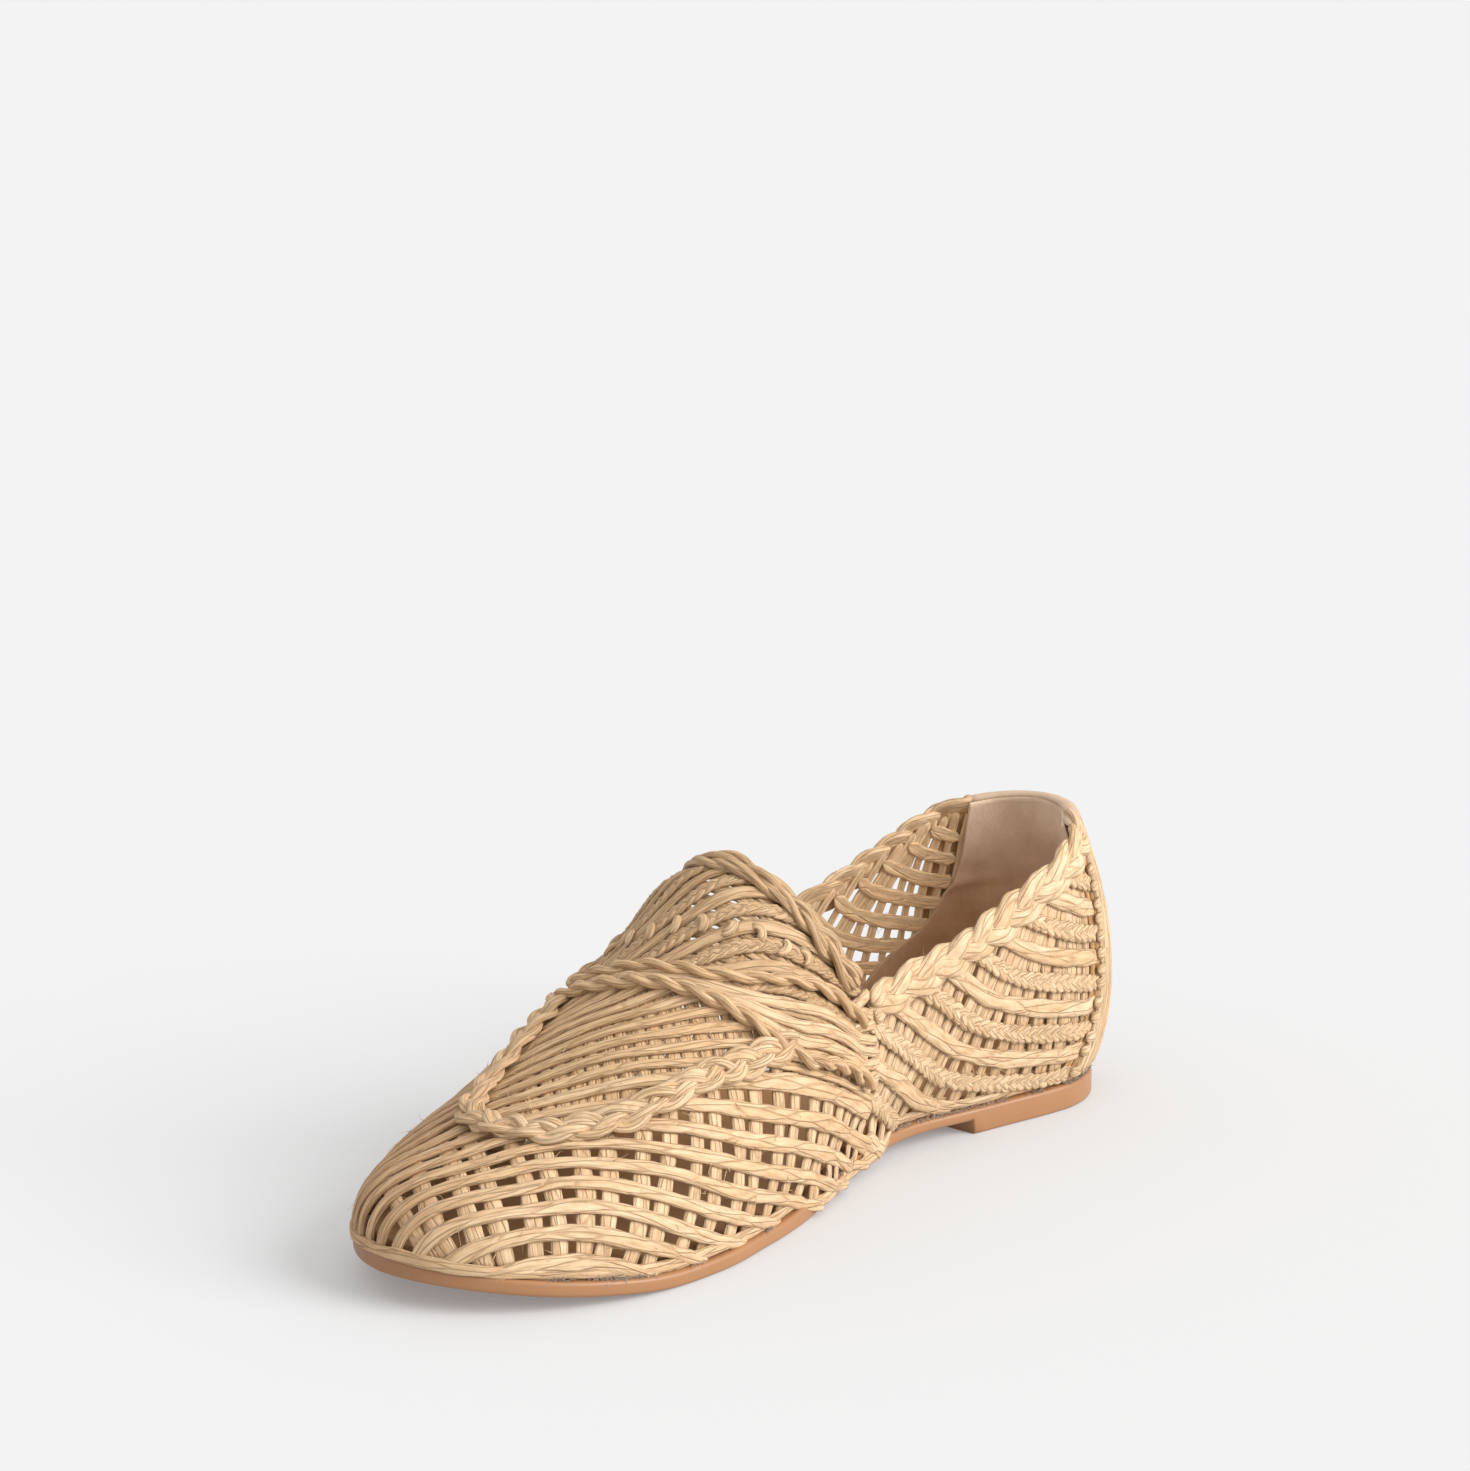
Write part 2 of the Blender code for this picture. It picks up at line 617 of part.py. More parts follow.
def make_throat_braid():
    """Braid along the throat's edge, from seam to seam."""
    rows = np.linspace(-THROAT_END, THROAT_END, PATH_FINENESS * THROAT_STEPS)
    x = np.array([throat_station(k) for k in rows])
    path = even(vamp_point(x, np.arctan2(row_offset(rows, x), OVERLAY_REACH), OVERLAY_REACH), THROAT_STEPS)
    taper = 1.0 - THROAT_TAPER * np.linspace(-1.0, 1.0, THROAT_STEPS) ** 2
    offsets = np.linspace(THROAT_WIDTH, 0.0, BRAID_LINES)[:, None] * taper
    heights = braid_height(BRAID_LINES, THROAT_STEPS)
    return make_overlay("throat_braid", "raffia", ribbon(path, -offsets), heights, BRAID_THICKNESS)


def make_saddle():
    """Saddle across the instep: two ropes with a lattice between them, from seam to seam."""
    marks = np.arange(len(SADDLE))
    table = [(mark, *row) for mark, row in zip(marks, SADDLE)]
    at = np.linspace(0.0, marks[-1], SADDLE_STEPS)
    rear_x, rear_turn, front_x, front_turn = (smooth(table, 1 + i, at) for i in range(len(SADDLE_COLUMNS)))
    share = np.linspace(0.0, 1.0, len(SADDLE_ROPES))[:, None]
    x = rear_x + (front_x - rear_x) * share
    turn = np.radians(rear_turn + (front_turn - rear_turn) * share)
    twist = np.where(np.arange(SADDLE_STEPS) % 2 == 0, 1.0, 1.0 - LUMP_DIP)
    heights = np.array(SADDLE_ROPES)[:, None] * twist[None]
    return make_overlay("saddle", "raffia", vamp_point(x, turn, OVERLAY_REACH), heights, SADDLE_THICKNESS)


def make_collar_braid(name, side):
    """Braid along one side of the collar, from the seam to the heel counter."""
    last_turn = math.radians(90.0 - COLLAR_TURN)
    end = SEAM_X - HEEL_CENTRE + last_turn * HEEL_DEPTH
    columns = [heel_column(side, length) for length in np.linspace(COLLAR_START, end, COLLAR_STEPS)]
    drops = np.linspace(-COLLAR_LIP, COLLAR_WIDTH, BRAID_LINES)[::-side]
    band = [column_point(column, collar_height(column_station(column)) - drops) for column in columns]
    heights = braid_height(BRAID_LINES, COLLAR_STEPS)
    return make_overlay(name, "raffia", np.stack(band, 1), heights, BRAID_THICKNESS)


def make_heel_counter():
    """Panel of upright strands round the back of the heel, wider towards the sole."""
    share = np.array(COUNTER_LEVELS)[:, None]
    across = np.linspace(1.0, -1.0, 2 * COUNTER_RIBS + 1)[None]
    turn = np.radians(smooth(COUNTER, 1, share)) * across
    station = HEEL_CENTRE - HEEL_DEPTH * np.cos(turn)
    low = feather(station) + COUNTER_FOOT
    grid = heel_point(turn, low + share * (collar_height(station) - low))
    rib = np.where(np.arange(2 * COUNTER_RIBS + 1) % 2 == 0, 1.0 - LUMP_DIP, 1.0)
    heights = np.broadcast_to(rib, grid.shape[:2])
    return make_overlay("heel_counter", "counter", grid, heights, COUNTER_THICKNESS)


shoe_parts = bpy.data.collections.new(OBJECT_NAME)
shoe_origin = bpy.data.objects.new("shoe_origin", None)


def main():
    bpy.context.scene.collection.children.link(shoe_parts)
    shoe_parts.objects.link(shoe_origin)
    make_unit_sole()
    make_insole()
    make_upper()
    make_plug_braid()
    make_throat_braid()
    make_saddle()
    make_collar_braid("collar_braid_inner", 1)
    make_collar_braid("collar_braid_outer", -1)
    make_heel_counter()


main()
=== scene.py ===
"""Looks of the woven raffia loafer: every cord, braid and rope of the upper, the suede heel lining,
the moulded sole and the insole, in a pale studio.

Sizes are millimetres in the shoe's own axes (x from heel to toe, y to the inner side, z up from the
floor); to_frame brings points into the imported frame, in metres.
"""

import math

import bpy
import numpy as np
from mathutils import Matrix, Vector


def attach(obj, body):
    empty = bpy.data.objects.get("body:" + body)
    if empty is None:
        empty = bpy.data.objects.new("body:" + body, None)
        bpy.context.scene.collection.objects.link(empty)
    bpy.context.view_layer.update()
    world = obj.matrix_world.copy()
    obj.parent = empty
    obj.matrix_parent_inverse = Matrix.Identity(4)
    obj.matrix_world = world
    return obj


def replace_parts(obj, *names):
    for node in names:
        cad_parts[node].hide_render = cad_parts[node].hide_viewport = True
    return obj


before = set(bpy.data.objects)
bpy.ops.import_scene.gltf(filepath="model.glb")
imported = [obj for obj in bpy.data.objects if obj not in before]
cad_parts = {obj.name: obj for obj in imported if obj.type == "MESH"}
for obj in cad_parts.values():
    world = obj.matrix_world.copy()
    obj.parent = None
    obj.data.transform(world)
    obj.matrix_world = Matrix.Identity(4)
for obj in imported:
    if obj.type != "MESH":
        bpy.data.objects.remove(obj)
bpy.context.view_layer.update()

MM = 0.001
BOX_MIDDLE = np.array([120.7, 1.95, 0.0])
CHANCE = np.random.default_rng(1069)

# The last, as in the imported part
SOLE_LENGTH = 250.0
HEEL_BREAST = 68.0
SOLE_MARGIN = 1.2
SOLE_HEEL_END = 2.5
PIECE_GAP = 0.3
INSOLE_THICKNESS = 2.5
INSOLE_INSET = 3.2
UPPER_TIP = 248.5
NOSE_START = 185.0
NOSE_PLAN_POWER = 2.5
NOSE_RIDGE_POWER = 3.0
HEEL_CENTRE = 34.0
HEEL_DEPTH = 40.0
HEEL_PLAN_POWER = 2.2
BULGE_LEVEL = 0.33
SEAM_X = 113.0
THROAT_X = 132.0
JUNCTION_ROW = 2.6

# Station, half widths at the feather line to the inner and outer side, ridge height over the feather
# line, fullness of the shoulder, side bulge, centre line's curve
LAST_COLUMNS = ("x", "inner", "outer", "ridge", "full", "bulge", "centre")
LAST = (
    (0, 28.5, 28.0, 90.5, 3.0, 2.5, 0.0),
    (30, 29.0, 29.0, 90.5, 3.0, 3.5, 0.0),
    (60, 25.5, 29.5, 88.5, 2.8, 4.5, 0.0),
    (90, 21.5, 31.0, 82.5, 2.4, 5.5, 0.0),
    (115, 25.0, 35.0, 75.8, 2.15, 5.5, 0.0),
    (140, 34.0, 39.0, 71.3, 2.0, 3.5, 0.5),
    (165, 40.5, 42.0, 55.3, 2.0, 1.5, 1.0),
    (185, 43.0, 43.0, 43.7, 2.1, 0.5, 2.0),
    (205, 43.0, 41.5, 32.8, 2.3, 0.5, 2.5),
    (225, 41.5, 38.5, 26.8, 2.5, 0.5, 3.5),
    (250, 38.0, 34.5, 23.3, 2.6, 0.5, 4.5),
)
# Heights over a station: feather line and sole's underside
FEATHER = (
    (0, 7.2), (40, 7.2), (70, 7.2), (100, 7.4), (140, 4.9), (165, 3.9), (195, 3.9), (220, 6.3), (250, 10.9),
)
UNDERSIDE = (
    (68, 3.7), (85, 3.9), (100, 3.6), (125, 1.9), (150, 0.0), (195, 0.0), (220, 2.4), (250, 7.0),
)
# Back of the heel: height, station
HEEL_CURVE = (
    (0, 3.5), (7, 3.5), (13.5, -1.5), (22.5, -5.0), (33, -6.3), (45.5, -5.0), (57.5, -1.8), (69.5, 2.8),
    (87, 8.5),
)
# Rearmost station of the upper's feather line
UPPER_BACK = HEEL_CURVE[1][1]
# Height of the collar's edge over a station
COLLAR = ((-10, 79.5), (19, 74.8), (42, 67.3), (58, 60.8), (77, 54.3), (97, 49.8), (113, 47.8))

# Edge of the throat: offset from the centre line for a row number, and its spread along the shoe
ROW_SCALE = 0.1287
ROW_GROWTH = 0.233
SPREAD = ((112, 3.75), (130, 2.7), (150, 1.8))
# Rows of the vamp run aslant over it, from the inner side's waist to the outer side of the toe:
# station, turn from upright of row 0 in degrees, pitch of the rows on its inner and outer side
ROW_COURSE = (
    (113, 45.5, 7.3, 3.0), (130, 41.0, 7.1, 3.2), (150, 36.5, 6.7, 3.5), (165, 32.3, 6.5, 3.9),
    (175, 28.5, 6.6, 4.2), (185, 23.3, 6.8, 5.2), (192, 18.2, 7.0, 6.0), (200, 10.8, 7.4, 6.8),
    (210, 1.3, 8.0, 7.6), (220, -8.0, 8.5, 8.3), (230, -17.0, 9.1, 9.0), (240, -32.0, 10.5, 10.4),
    (248.5, -54.0, 13.0, 12.0),
)
# First row, on the outer side, and the one after the last, on the inner side
VAMP_ROWS = (-38, 9)
# Foremost station and outer turn of the plug
PLUG_TOE = 217.0
PLUG_OUTER_TURN = -17.5
# Rows of the quarter: how far a row has risen at a station, counted from the row through the heel
QUARTER_RISE = ((40, 0.0), (64, 4.0), (79, 9.0), (89, 16.0), (105, 27.0), (115, 34.0), (215, 104.0))
# Level of the row through the heel, pitch of the rows, first and last level
QUARTER_LEVEL = 13.0
QUARTER_PITCH = 5.9
QUARTER_ROWS = (-8.0, 64.0)

# Overlays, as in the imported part; the braids go on a little further, under the saddle and at the seams
# Depth under the feather line of the axis about which turns are taken
OVERLAY_REACH = 18.0
# Braid round the plug: station and turn from upright in degrees; rows of the table on the plug's inner side
PLUG = (
    (147, 29.5), (157, 29.5), (170, 29.0), (182, 28.3), (192, 27.6), (202, 25.5), (210, 21.5), (215.5, 13.0),
    (218, 2.0), (216, -8.5), (210, -13.5), (202, -16.5), (190, -17.5), (180.5, -17.5), (173, -17.0),
)
PLUG_INNER_ROWS = 8
# Row number at which the throat's braid ends, on each side
THROAT_END = 2.5
# Saddle, from the inner to the outer side seam: station and turn of its rear edge, then of its front edge
SADDLE = (
    (116, 26.5, 117, 41.0), (123, 22.8, 126, 38.3), (131, 20.0, 135, 37.0), (141, 18.0, 143.5, 36.0),
    (150.5, 15.6, 151, 32.0), (157.5, 12.0, 157, 25.5), (162, 7.0, 163, 17.0), (165, 0.0, 169.5, 5.0),
    (167, -8.0, 173.5, -6.5), (167, -16.0, 174.5, -16.5), (161, -21.5, 169.5, -25.5),
    (150, -24.0, 158, -32.5), (134, -25.5, 140, -37.5), (116, -28.0, 117, -41.0),
)
# Turn past which there is no saddle; shares of its width where its ropes and its cords lie
SADDLE_REACH = 33.5
SADDLE_ROPES = (0.14, 0.86)
SADDLE_LATTICE = (0.36, 0.52, 0.68)
# Line of the knots behind the saddle: station and turn
KNOT_LINE = (
    (131, 18.5), (136, 17.0), (141, 14.0), (147, 10.0), (151.5, 5.0), (154, 0.0), (156.5, -6.0), (157, -13.0),
    (152, -18.0), (142, -20.0),
)
# Counter: share of its height, half its turn round the heel in degrees
COUNTER = ((0.0, 84.0), (0.15, 74.0), (0.4, 65.0), (0.7, 61.0), (1.0, 57.5))
# Height of the counter's foot over the feather line
COUNTER_FOOT = 2.0


def smooth(table, column, at):
    """A table's column read along a cubic curve whose slope at each row is the harmonic mean of the slopes
    before and after it, and level where they turn."""
    places = np.array([row[0] for row in table], float)
    values = np.array([row[column] for row in table], float)
    steps = np.diff(places)
    slopes = np.diff(values) / steps
    before, after = slopes[:-1], slopes[1:]
    same_way = before * after > 0
    total = np.where(same_way, before + after, 1.0)
    tangents = np.empty_like(values)
    tangents[1:-1] = np.where(same_way, 2.0 * before * after / total, 0.0)
    tangents[0], tangents[-1] = slopes[0], slopes[-1]
    at = np.clip(np.asarray(at, float), places[0], places[-1])
    i = np.clip(np.searchsorted(places, at, side="right") - 1, 0, len(steps) - 1)
    t = (at - places[i]) / steps[i]
    rise = 3 * t**2 - 2 * t**3
    lead = (t**3 - 2 * t**2 + t) * steps[i] * tangents[i]
    trail = (t**3 - t**2) * steps[i] * tangents[i + 1]
    return values[i] * (1 - rise) + values[i + 1] * rise + lead + trail


def last_value(name, x):
    """A column of the last at a station."""
    return smooth(LAST, LAST_COLUMNS.index(name), x)


def feather(x):
    """Height of the feather line over a station."""
    return smooth(FEATHER, 1, x)


def collar_height(x):
    """Height of the collar's edge over a station."""
    return smooth(COLLAR, 1, x)


def side_width(x, side):
    """Half width at the feather line, of the inner (1) or the outer (-1) side."""
    return np.where(side > 0, last_value("inner", x), last_value("outer", x))


def nose_left(x, tip, power):
    """What the rounded nose leaves of a squared width: one less a power of the way to the tip."""
    return 1.0 - np.maximum((x - NOSE_START) / (tip - NOSE_START), 0.0) ** power


def heel_left(x, back):
    """What the rounded heel leaves of a squared width: one less a power of the way to its back."""
    return 1.0 - np.maximum((HEEL_CENTRE - x) / (HEEL_CENTRE - back), 0.0) ** HEEL_PLAN_POWER


def square_width(x, z, side):
    """Squared half width of the last: feather width and bulge, times what nose, heel and shoulder leave."""
    floor = feather(x)
    tall = np.sqrt(np.maximum(nose_left(x, UPPER_TIP, NOSE_RIDGE_POWER), 1e-6))
    level = np.maximum((z - floor) / (last_value("ridge", x) * tall), 0.0)
    swell = level / BULGE_LEVEL
    width = side_width(x, side) + last_value("bulge", x) * swell * np.exp(1.0 - swell)
    ends = nose_left(x, UPPER_TIP, NOSE_PLAN_POWER), heel_left(x, smooth(HEEL_CURVE, 1, z))
    shoulder = 1.0 - level ** last_value("full", x)
    left = np.minimum(np.minimum(ends[0], ends[1]), shoulder)
    return np.where(left < 0, left, ends[0] * ends[1] * shoulder) * width**2


def outside(points):
    """How far outside the last points are, in square millimetres; negative inside."""
    x, y, z = np.moveaxis(points, -1, 0)
    off = y - last_value("centre", x)
    return off**2 - square_width(x, z, np.where(off < 0, -1, 1))


def outward(points, step=0.05):
    """Unit normals of the last: the slope of outside, from small steps along each axis."""
    steps = np.eye(3) * step
    slope = np.stack([outside(points + d) - outside(points - d) for d in steps], -1)
    return slope / np.maximum(np.linalg.norm(slope, axis=-1, keepdims=True), 1e-9)


def leave(start, direction, furthest=260.0, halvings=24):
    """The points where straight lines from inside the last leave it, found by halving."""
    near = np.zeros(direction.shape[:-1])
    far = np.full(direction.shape[:-1], furthest)
    for _ in range(halvings):
        middle = (near + far) / 2
        inside = outside(start + direction * middle[..., None]) < 0
        near = np.where(inside, middle, near)
        far = np.where(inside, far, middle)
    return start + direction * near[..., None]


def vamp_point(x, turn):
    """Point of the vamp at a station, on a line turned from upright about the overlays' axis."""
    x, turn = np.broadcast_arrays(*(np.asarray(v, float) for v in (x, turn)))
    start = np.stack([x, last_value("centre", x), feather(x) - OVERLAY_REACH], -1)
    direction = np.stack([np.zeros_like(x), np.sin(turn), np.cos(turn)], -1)
    return leave(start, direction)


def wall_point(length, z, side):
    """Point of the quarter at a length back from the seam and a height: straight along the side as far
    as the heel's centre, then on level lines turned about that centre."""
    length, z, side = np.broadcast_arrays(*(np.asarray(v, float) for v in (length, z, side)))
    straight = SEAM_X - HEEL_CENTRE
    x = SEAM_X - np.minimum(length, straight)
    turn = side * (math.pi / 2 - np.maximum(length - straight, 0.0) / HEEL_DEPTH)
    start = np.stack([x, np.where(length <= straight, last_value("centre", x), 0.0), z], -1)
    direction = np.stack([-np.cos(turn), np.sin(turn), np.zeros_like(z)], -1)
    return leave(start, direction)


def wall_station(length):
    """Station of the quarter's wall at a length back from the seam, for the collar and feather line."""
    straight = SEAM_X - HEEL_CENTRE
    turned = np.maximum(length - straight, 0.0) / HEEL_DEPTH
    return np.where(length <= straight, SEAM_X - length, HEEL_CENTRE - HEEL_DEPTH * np.sin(turned))


def throat_offset(k, x):
    """How far from the centre line the throat's edge is at row k: a hyperbolic sine of k."""
    side = np.where(np.asarray(k) < 0, -1, 1)
    return ROW_SCALE * np.sinh(ROW_GROWTH * k) * smooth(SPREAD, 1, x) * side_width(x, side)


def throat_turn(k):
    """Turn of the throat's edge at row k, in radians."""
    return np.arctan2(throat_offset(k, throat_station(k)), OVERLAY_REACH)


def row_turn(j, x):
    """Turn of row j at a station, in degrees: row 0's turn and a pitch for each row from it."""
    pitch = np.where(np.asarray(j) > 0, smooth(ROW_COURSE, 2, x), smooth(ROW_COURSE, 3, x))
    return smooth(ROW_COURSE, 1, x) + pitch * j


def row_number(x, turn):
    """Number of the row at a station and turn, with its fraction."""
    off = turn - smooth(ROW_COURSE, 1, x)
    return off / np.where(off > 0, smooth(ROW_COURSE, 2, x), smooth(ROW_COURSE, 3, x))


def turn_limit(x, side):
    """Turn of the feather line at a station, in degrees."""
    edge = side_width(x, side) * np.sqrt(np.maximum(nose_left(x, UPPER_TIP, NOSE_PLAN_POWER), 0.0))
    return np.degrees(np.arctan2(edge, OVERLAY_REACH))


def path_turn(path):
    """Turn from upright of a path's points, in degrees."""
    x, y, z = path.T
    return np.degrees(np.arctan2(y - last_value("centre", x), z - feather(x) + OVERLAY_REACH))


def saddle_line(share):
    """Table of stations and turns along the saddle, at a share of its width from its rear edge."""
    return [(a + (c - a) * share, b + (d - b) * share) for a, b, c, d in SADDLE]


def saddle_station(turn):
    """Station of the saddle's middle at a turn; 0 where the saddle doesn't reach."""
    middle = np.array(saddle_line(0.5))[::-1]
    return np.where(np.abs(turn) > SADDLE_REACH, 0.0, np.interp(turn, middle[:, 1], middle[:, 0]))


def throat_edge(turn):
    """Station of the throat's edge at a turn, read from its rows."""
    k = np.linspace(-JUNCTION_ROW, JUNCTION_ROW, 200)
    return np.interp(turn, np.degrees(throat_turn(k)), throat_station(k))


def on_vamp(x, turn, tuck):
    """Whether a place is between the feather lines, widened by a tuck in degrees, in front of the seam and
    in front of the saddle."""
    limit = turn_limit(x, np.where(turn < 0, -1, 1)) + tuck
    inside = (np.abs(turn) < limit) & (x >= SEAM_X) & (x < UPPER_TIP)
    return inside & (x > saddle_station(turn))


def on_plug(x, turn):
    """Whether a place is inside the plug's braid."""
    return (x < PLUG_TOE) & (turn < smooth(PLUG[:PLUG_INNER_ROWS], 1, x)) & (turn > PLUG_OUTER_TURN)


def throat_station(k):
    """Station of the throat's edge at row k: a quarter wave from the ridge to the seam."""
    share = np.clip(np.abs(k) / JUNCTION_ROW, 0.0, 1.0)
    return SEAM_X + (THROAT_X - SEAM_X) * np.cos(share * math.pi / 2)


def to_frame(points):
    """Points of the shoe's axes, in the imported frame."""
    return (np.asarray(points, float) - BOX_MIDDLE) * MM


def lengths(path):
    """Length along a path at each of its points."""
    return np.concatenate([[0.0], np.cumsum(np.linalg.norm(np.diff(path, axis=0), axis=1))])


def even(path, step, fewest=6):
    """A path's points spread evenly along it, about a step apart."""
    along = lengths(path)
    wanted = np.linspace(0.0, along[-1], max(int(along[-1] / step) + 1, fewest))
    return np.stack([np.interp(wanted, along, path[:, i]) for i in range(3)], -1)


def unit(vectors):
    """Vectors of the same directions, of length one."""
    return vectors / np.maximum(np.linalg.norm(vectors, axis=-1, keepdims=True), 1e-9)


# Cords: sides of a section, step along a path, grooves, their depth and sharpness, length of a twist
CORD_SIDES = 12
CORD_STEP = 1.1
CORD_GROOVES = 3
GROOVE_DEPTH = 0.16
GROOVE_POWER = 0.5
TWIST_LENGTH = 26.0
# A cord's waver: its two waves in radians a millimetre and the second's share, how much the width and the
# height follow it, the wave of the cord's drift aside and how far that goes
WAVES = (0.21, 0.57)
SECOND_WAVE = 0.6
WIDTH_WAVER = 0.07
HEIGHT_WAVER = 0.05
DRIFT_WAVE = 0.17
DRIFT = 0.18
# A cord's ends: length of their rounding in half heights, least share that is left; powers that flatten the
# section; how far apart the fibres of two cords start
END_LENGTH = 1.5
END_LEFT = 0.05
WIDE_POWER = 0.65
HIGH_POWER = 0.9
FIBRE_START = 40.0
# Braids: waver of their angle and swing with the wave of each, twist of a strand and its looseness
ANGLE_WAVER = 0.35
ANGLE_WAVE = 0.11
SWING_WAVER = 0.12
SWING_WAVE = 0.16
STRAND_TWIST = 18.0
STRAND_LOOSE = 0.8
# Strand that is a bundle of two: offset, rise, width and height of each half as shares of the strand's, its
# looseness, and the length of their twist as a share of the braid's wave
BUNDLE = {"aside": 0.5, "rise": 0.35, "width": 0.62, "height": 0.8, "loose": 1.2, "twist": 0.8}
# Ropes: twist and looseness of a strand
ROPE_TWIST = 16.0
ROPE_LOOSE = 0.7
# Tone added for painted shade: it makes the raffia of cords that face up or away from the key light darker
PAINTED_SHADE_TONE = 1.2


def cord(path, half_width, half_height, lift=0.0, twist=TWIST_LENGTH, loose=1.0, out=None):
    """A flat twisted cord: a flattened round section carried along a path over the last, its grooves
    winding once round in the twist's length, its width and course wavering by sums of sines."""
    out = outward(path) if out is None else out
    along = lengths(path)
    heading = unit(np.gradient(path, axis=0))
    aside = unit(np.cross(out, heading))
    up = np.cross(heading, aside)
    phase = CHANCE.uniform(0.0, 2 * math.pi, 4)
    waver = np.sin(along * WAVES[0] + phase[0]) + SECOND_WAVE * np.sin(along * WAVES[1] + phase[1])
    drift = np.sin(along * DRIFT_WAVE + phase[2])
    ends = np.minimum(along, along[-1] - along) / (END_LENGTH * np.max(half_height))
    close = np.sqrt(1.0 - (1.0 - np.clip(ends, END_LEFT, 1.0)) ** 2)
    wide = half_width * (1.0 + WIDTH_WAVER * loose * waver) * close
    high = half_height * (1.0 - HEIGHT_WAVER * loose * waver) * close
    centre = path + out * np.asarray(lift)[..., None] + aside * (DRIFT * loose * drift)[:, None]
    turn = np.linspace(0.0, 2 * math.pi, CORD_SIDES, endpoint=False) - math.pi / 2
    wind = CORD_GROOVES / 2 * (turn[None] + (2 * math.pi * along / twist + phase[3])[:, None])
    groove = np.abs(np.sin(wind)) ** GROOVE_POWER
    radius = 1.0 - GROOVE_DEPTH * (1.0 - groove)
    flat = np.sign(np.cos(turn)) * np.abs(np.cos(turn)) ** WIDE_POWER
    tall = np.sign(np.sin(turn)) * np.abs(np.sin(turn)) ** HIGH_POWER
    points = centre[:, None] + aside[:, None] * (wide[:, None] * radius * flat)[..., None]
    points = points + up[:, None] * (high[:, None] * radius * tall)[..., None]
    around = np.broadcast_to(np.arange(CORD_SIDES) / CORD_SIDES, radius.shape)
    length = np.broadcast_to((along + FIBRE_START * phase[3])[:, None], radius.shape)
    return {"points": points, "crease": 1.0 - groove, "along": length, "around": around,
            "tone": CHANCE.uniform(0.0, 1.0)}


def with_painted_shade(cords):
    """Cords with painted shade, as on the plug, the instep and the saddle: tone added so that their raffia
    comes out darker.
    """
    for made in cords:
        made["tone"] += PAINTED_SHADE_TONE
    return cords


def braid(path, half_width, strand_width, strand_height, wave, lift, rise, bundled=False):
    """A flat braid of three strands: they swing from side to side as a sine along the path and pass over
    and under each other as a sine of twice that angle. A strand may be a bundle of two, twisted."""
    out = outward(path)
    aside = unit(np.cross(out, unit(np.gradient(path, axis=0))))
    along = lengths(path)
    phase = CHANCE.uniform(0.0, 2 * math.pi, 5)
    angle = 2 * math.pi * along / wave + ANGLE_WAVER * np.sin(along * ANGLE_WAVE + phase[0])
    swing = half_width * (1.0 + SWING_WAVER * np.sin(along * SWING_WAVE + phase[1]))
    made = []
    for i in range(3):
        at = angle + 2 * math.pi * i / 3
        strand = path + aside * (swing * np.sin(at))[:, None]
        over = lift + rise * np.sin(2 * at)
        if not bundled:
            made.append(cord(strand, strand_width, strand_height, over, STRAND_TWIST, STRAND_LOOSE, out))
            continue
        twist = 2 * math.pi * along / (BUNDLE["twist"] * wave) + phase[2 + i]
        width, height = BUNDLE["width"] * strand_width, BUNDLE["height"] * strand_height
        for half in (-1, 1):
            part = strand + aside * (half * BUNDLE["aside"] * strand_width * np.cos(twist))[:, None]
            level = over + half * BUNDLE["rise"] * strand_height * np.sin(twist)
            made.append(cord(part, width, height, level, STRAND_TWIST, BUNDLE["loose"], out))
    return made


def rope(path, radius, strand, pitch, lift, strands=2):
    """A laid rope: strands that wind round the path once in the pitch."""
    out = outward(path)
    heading = unit(np.gradient(path, axis=0))
    aside = unit(np.cross(out, heading))
    angle = 2 * math.pi * lengths(path) / pitch
    made = []
    for i in range(strands):
        at = angle + 2 * math.pi * i / strands
        line = path + aside * (radius * np.cos(at))[:, None]
        made.append(cord(line, strand, strand, lift + radius * np.sin(at), ROPE_TWIST, ROPE_LOOSE, out))
    return made


def new_piece(name, points, faces, material, attributes=(), uv=None):
    """A mesh object at the origin, with values per point and a UV map per point, riding on the shoe."""
    mesh = bpy.data.meshes.new(name)
    mesh.from_pydata(to_frame(points).tolist(), [], faces)
    for label, values in attributes:
        layer = mesh.attributes.new(label, "FLOAT", "POINT")
        layer.data.foreach_set("value", np.asarray(values, np.float32))
    if uv is not None:
        corners = np.empty(len(mesh.loops), np.int32)
        mesh.loops.foreach_get("vertex_index", corners)
        layer = mesh.uv_layers.new(name="strand")
        layer.data.foreach_set("uv", np.asarray(uv, np.float32)[corners].ravel())
    mesh.polygons.foreach_set("use_smooth", np.full(len(mesh.polygons), True))
    mesh.materials.append(material)
    piece = bpy.data.objects.new(name, mesh)
    bpy.context.scene.collection.objects.link(piece)
    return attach(piece, "root")


def tube_faces(rings, sides, first=0):
    """Quads between rings of points, and a cap on each end."""
    ring, side = np.meshgrid(np.arange(rings - 1), np.arange(sides), indexing="ij")
    a = first + ring * sides + side
    b = first + ring * sides + (side + 1) % sides
    quads = np.stack([a, b, b + sides, a + sides], -1).reshape(-1, 4).tolist()
    last = first + (rings - 1) * sides
    return quads + [list(range(first + sides - 1, first - 1, -1)), list(range(last, last + sides))]


def sheet_faces(rows, columns):
    """Quads between the points of a grid."""
    row, column = np.meshgrid(np.arange(rows - 1), np.arange(columns - 1), indexing="ij")
    a = row * columns + column
    return np.stack([a, a + 1, a + columns + 1, a + columns], -1).reshape(-1, 4).tolist()


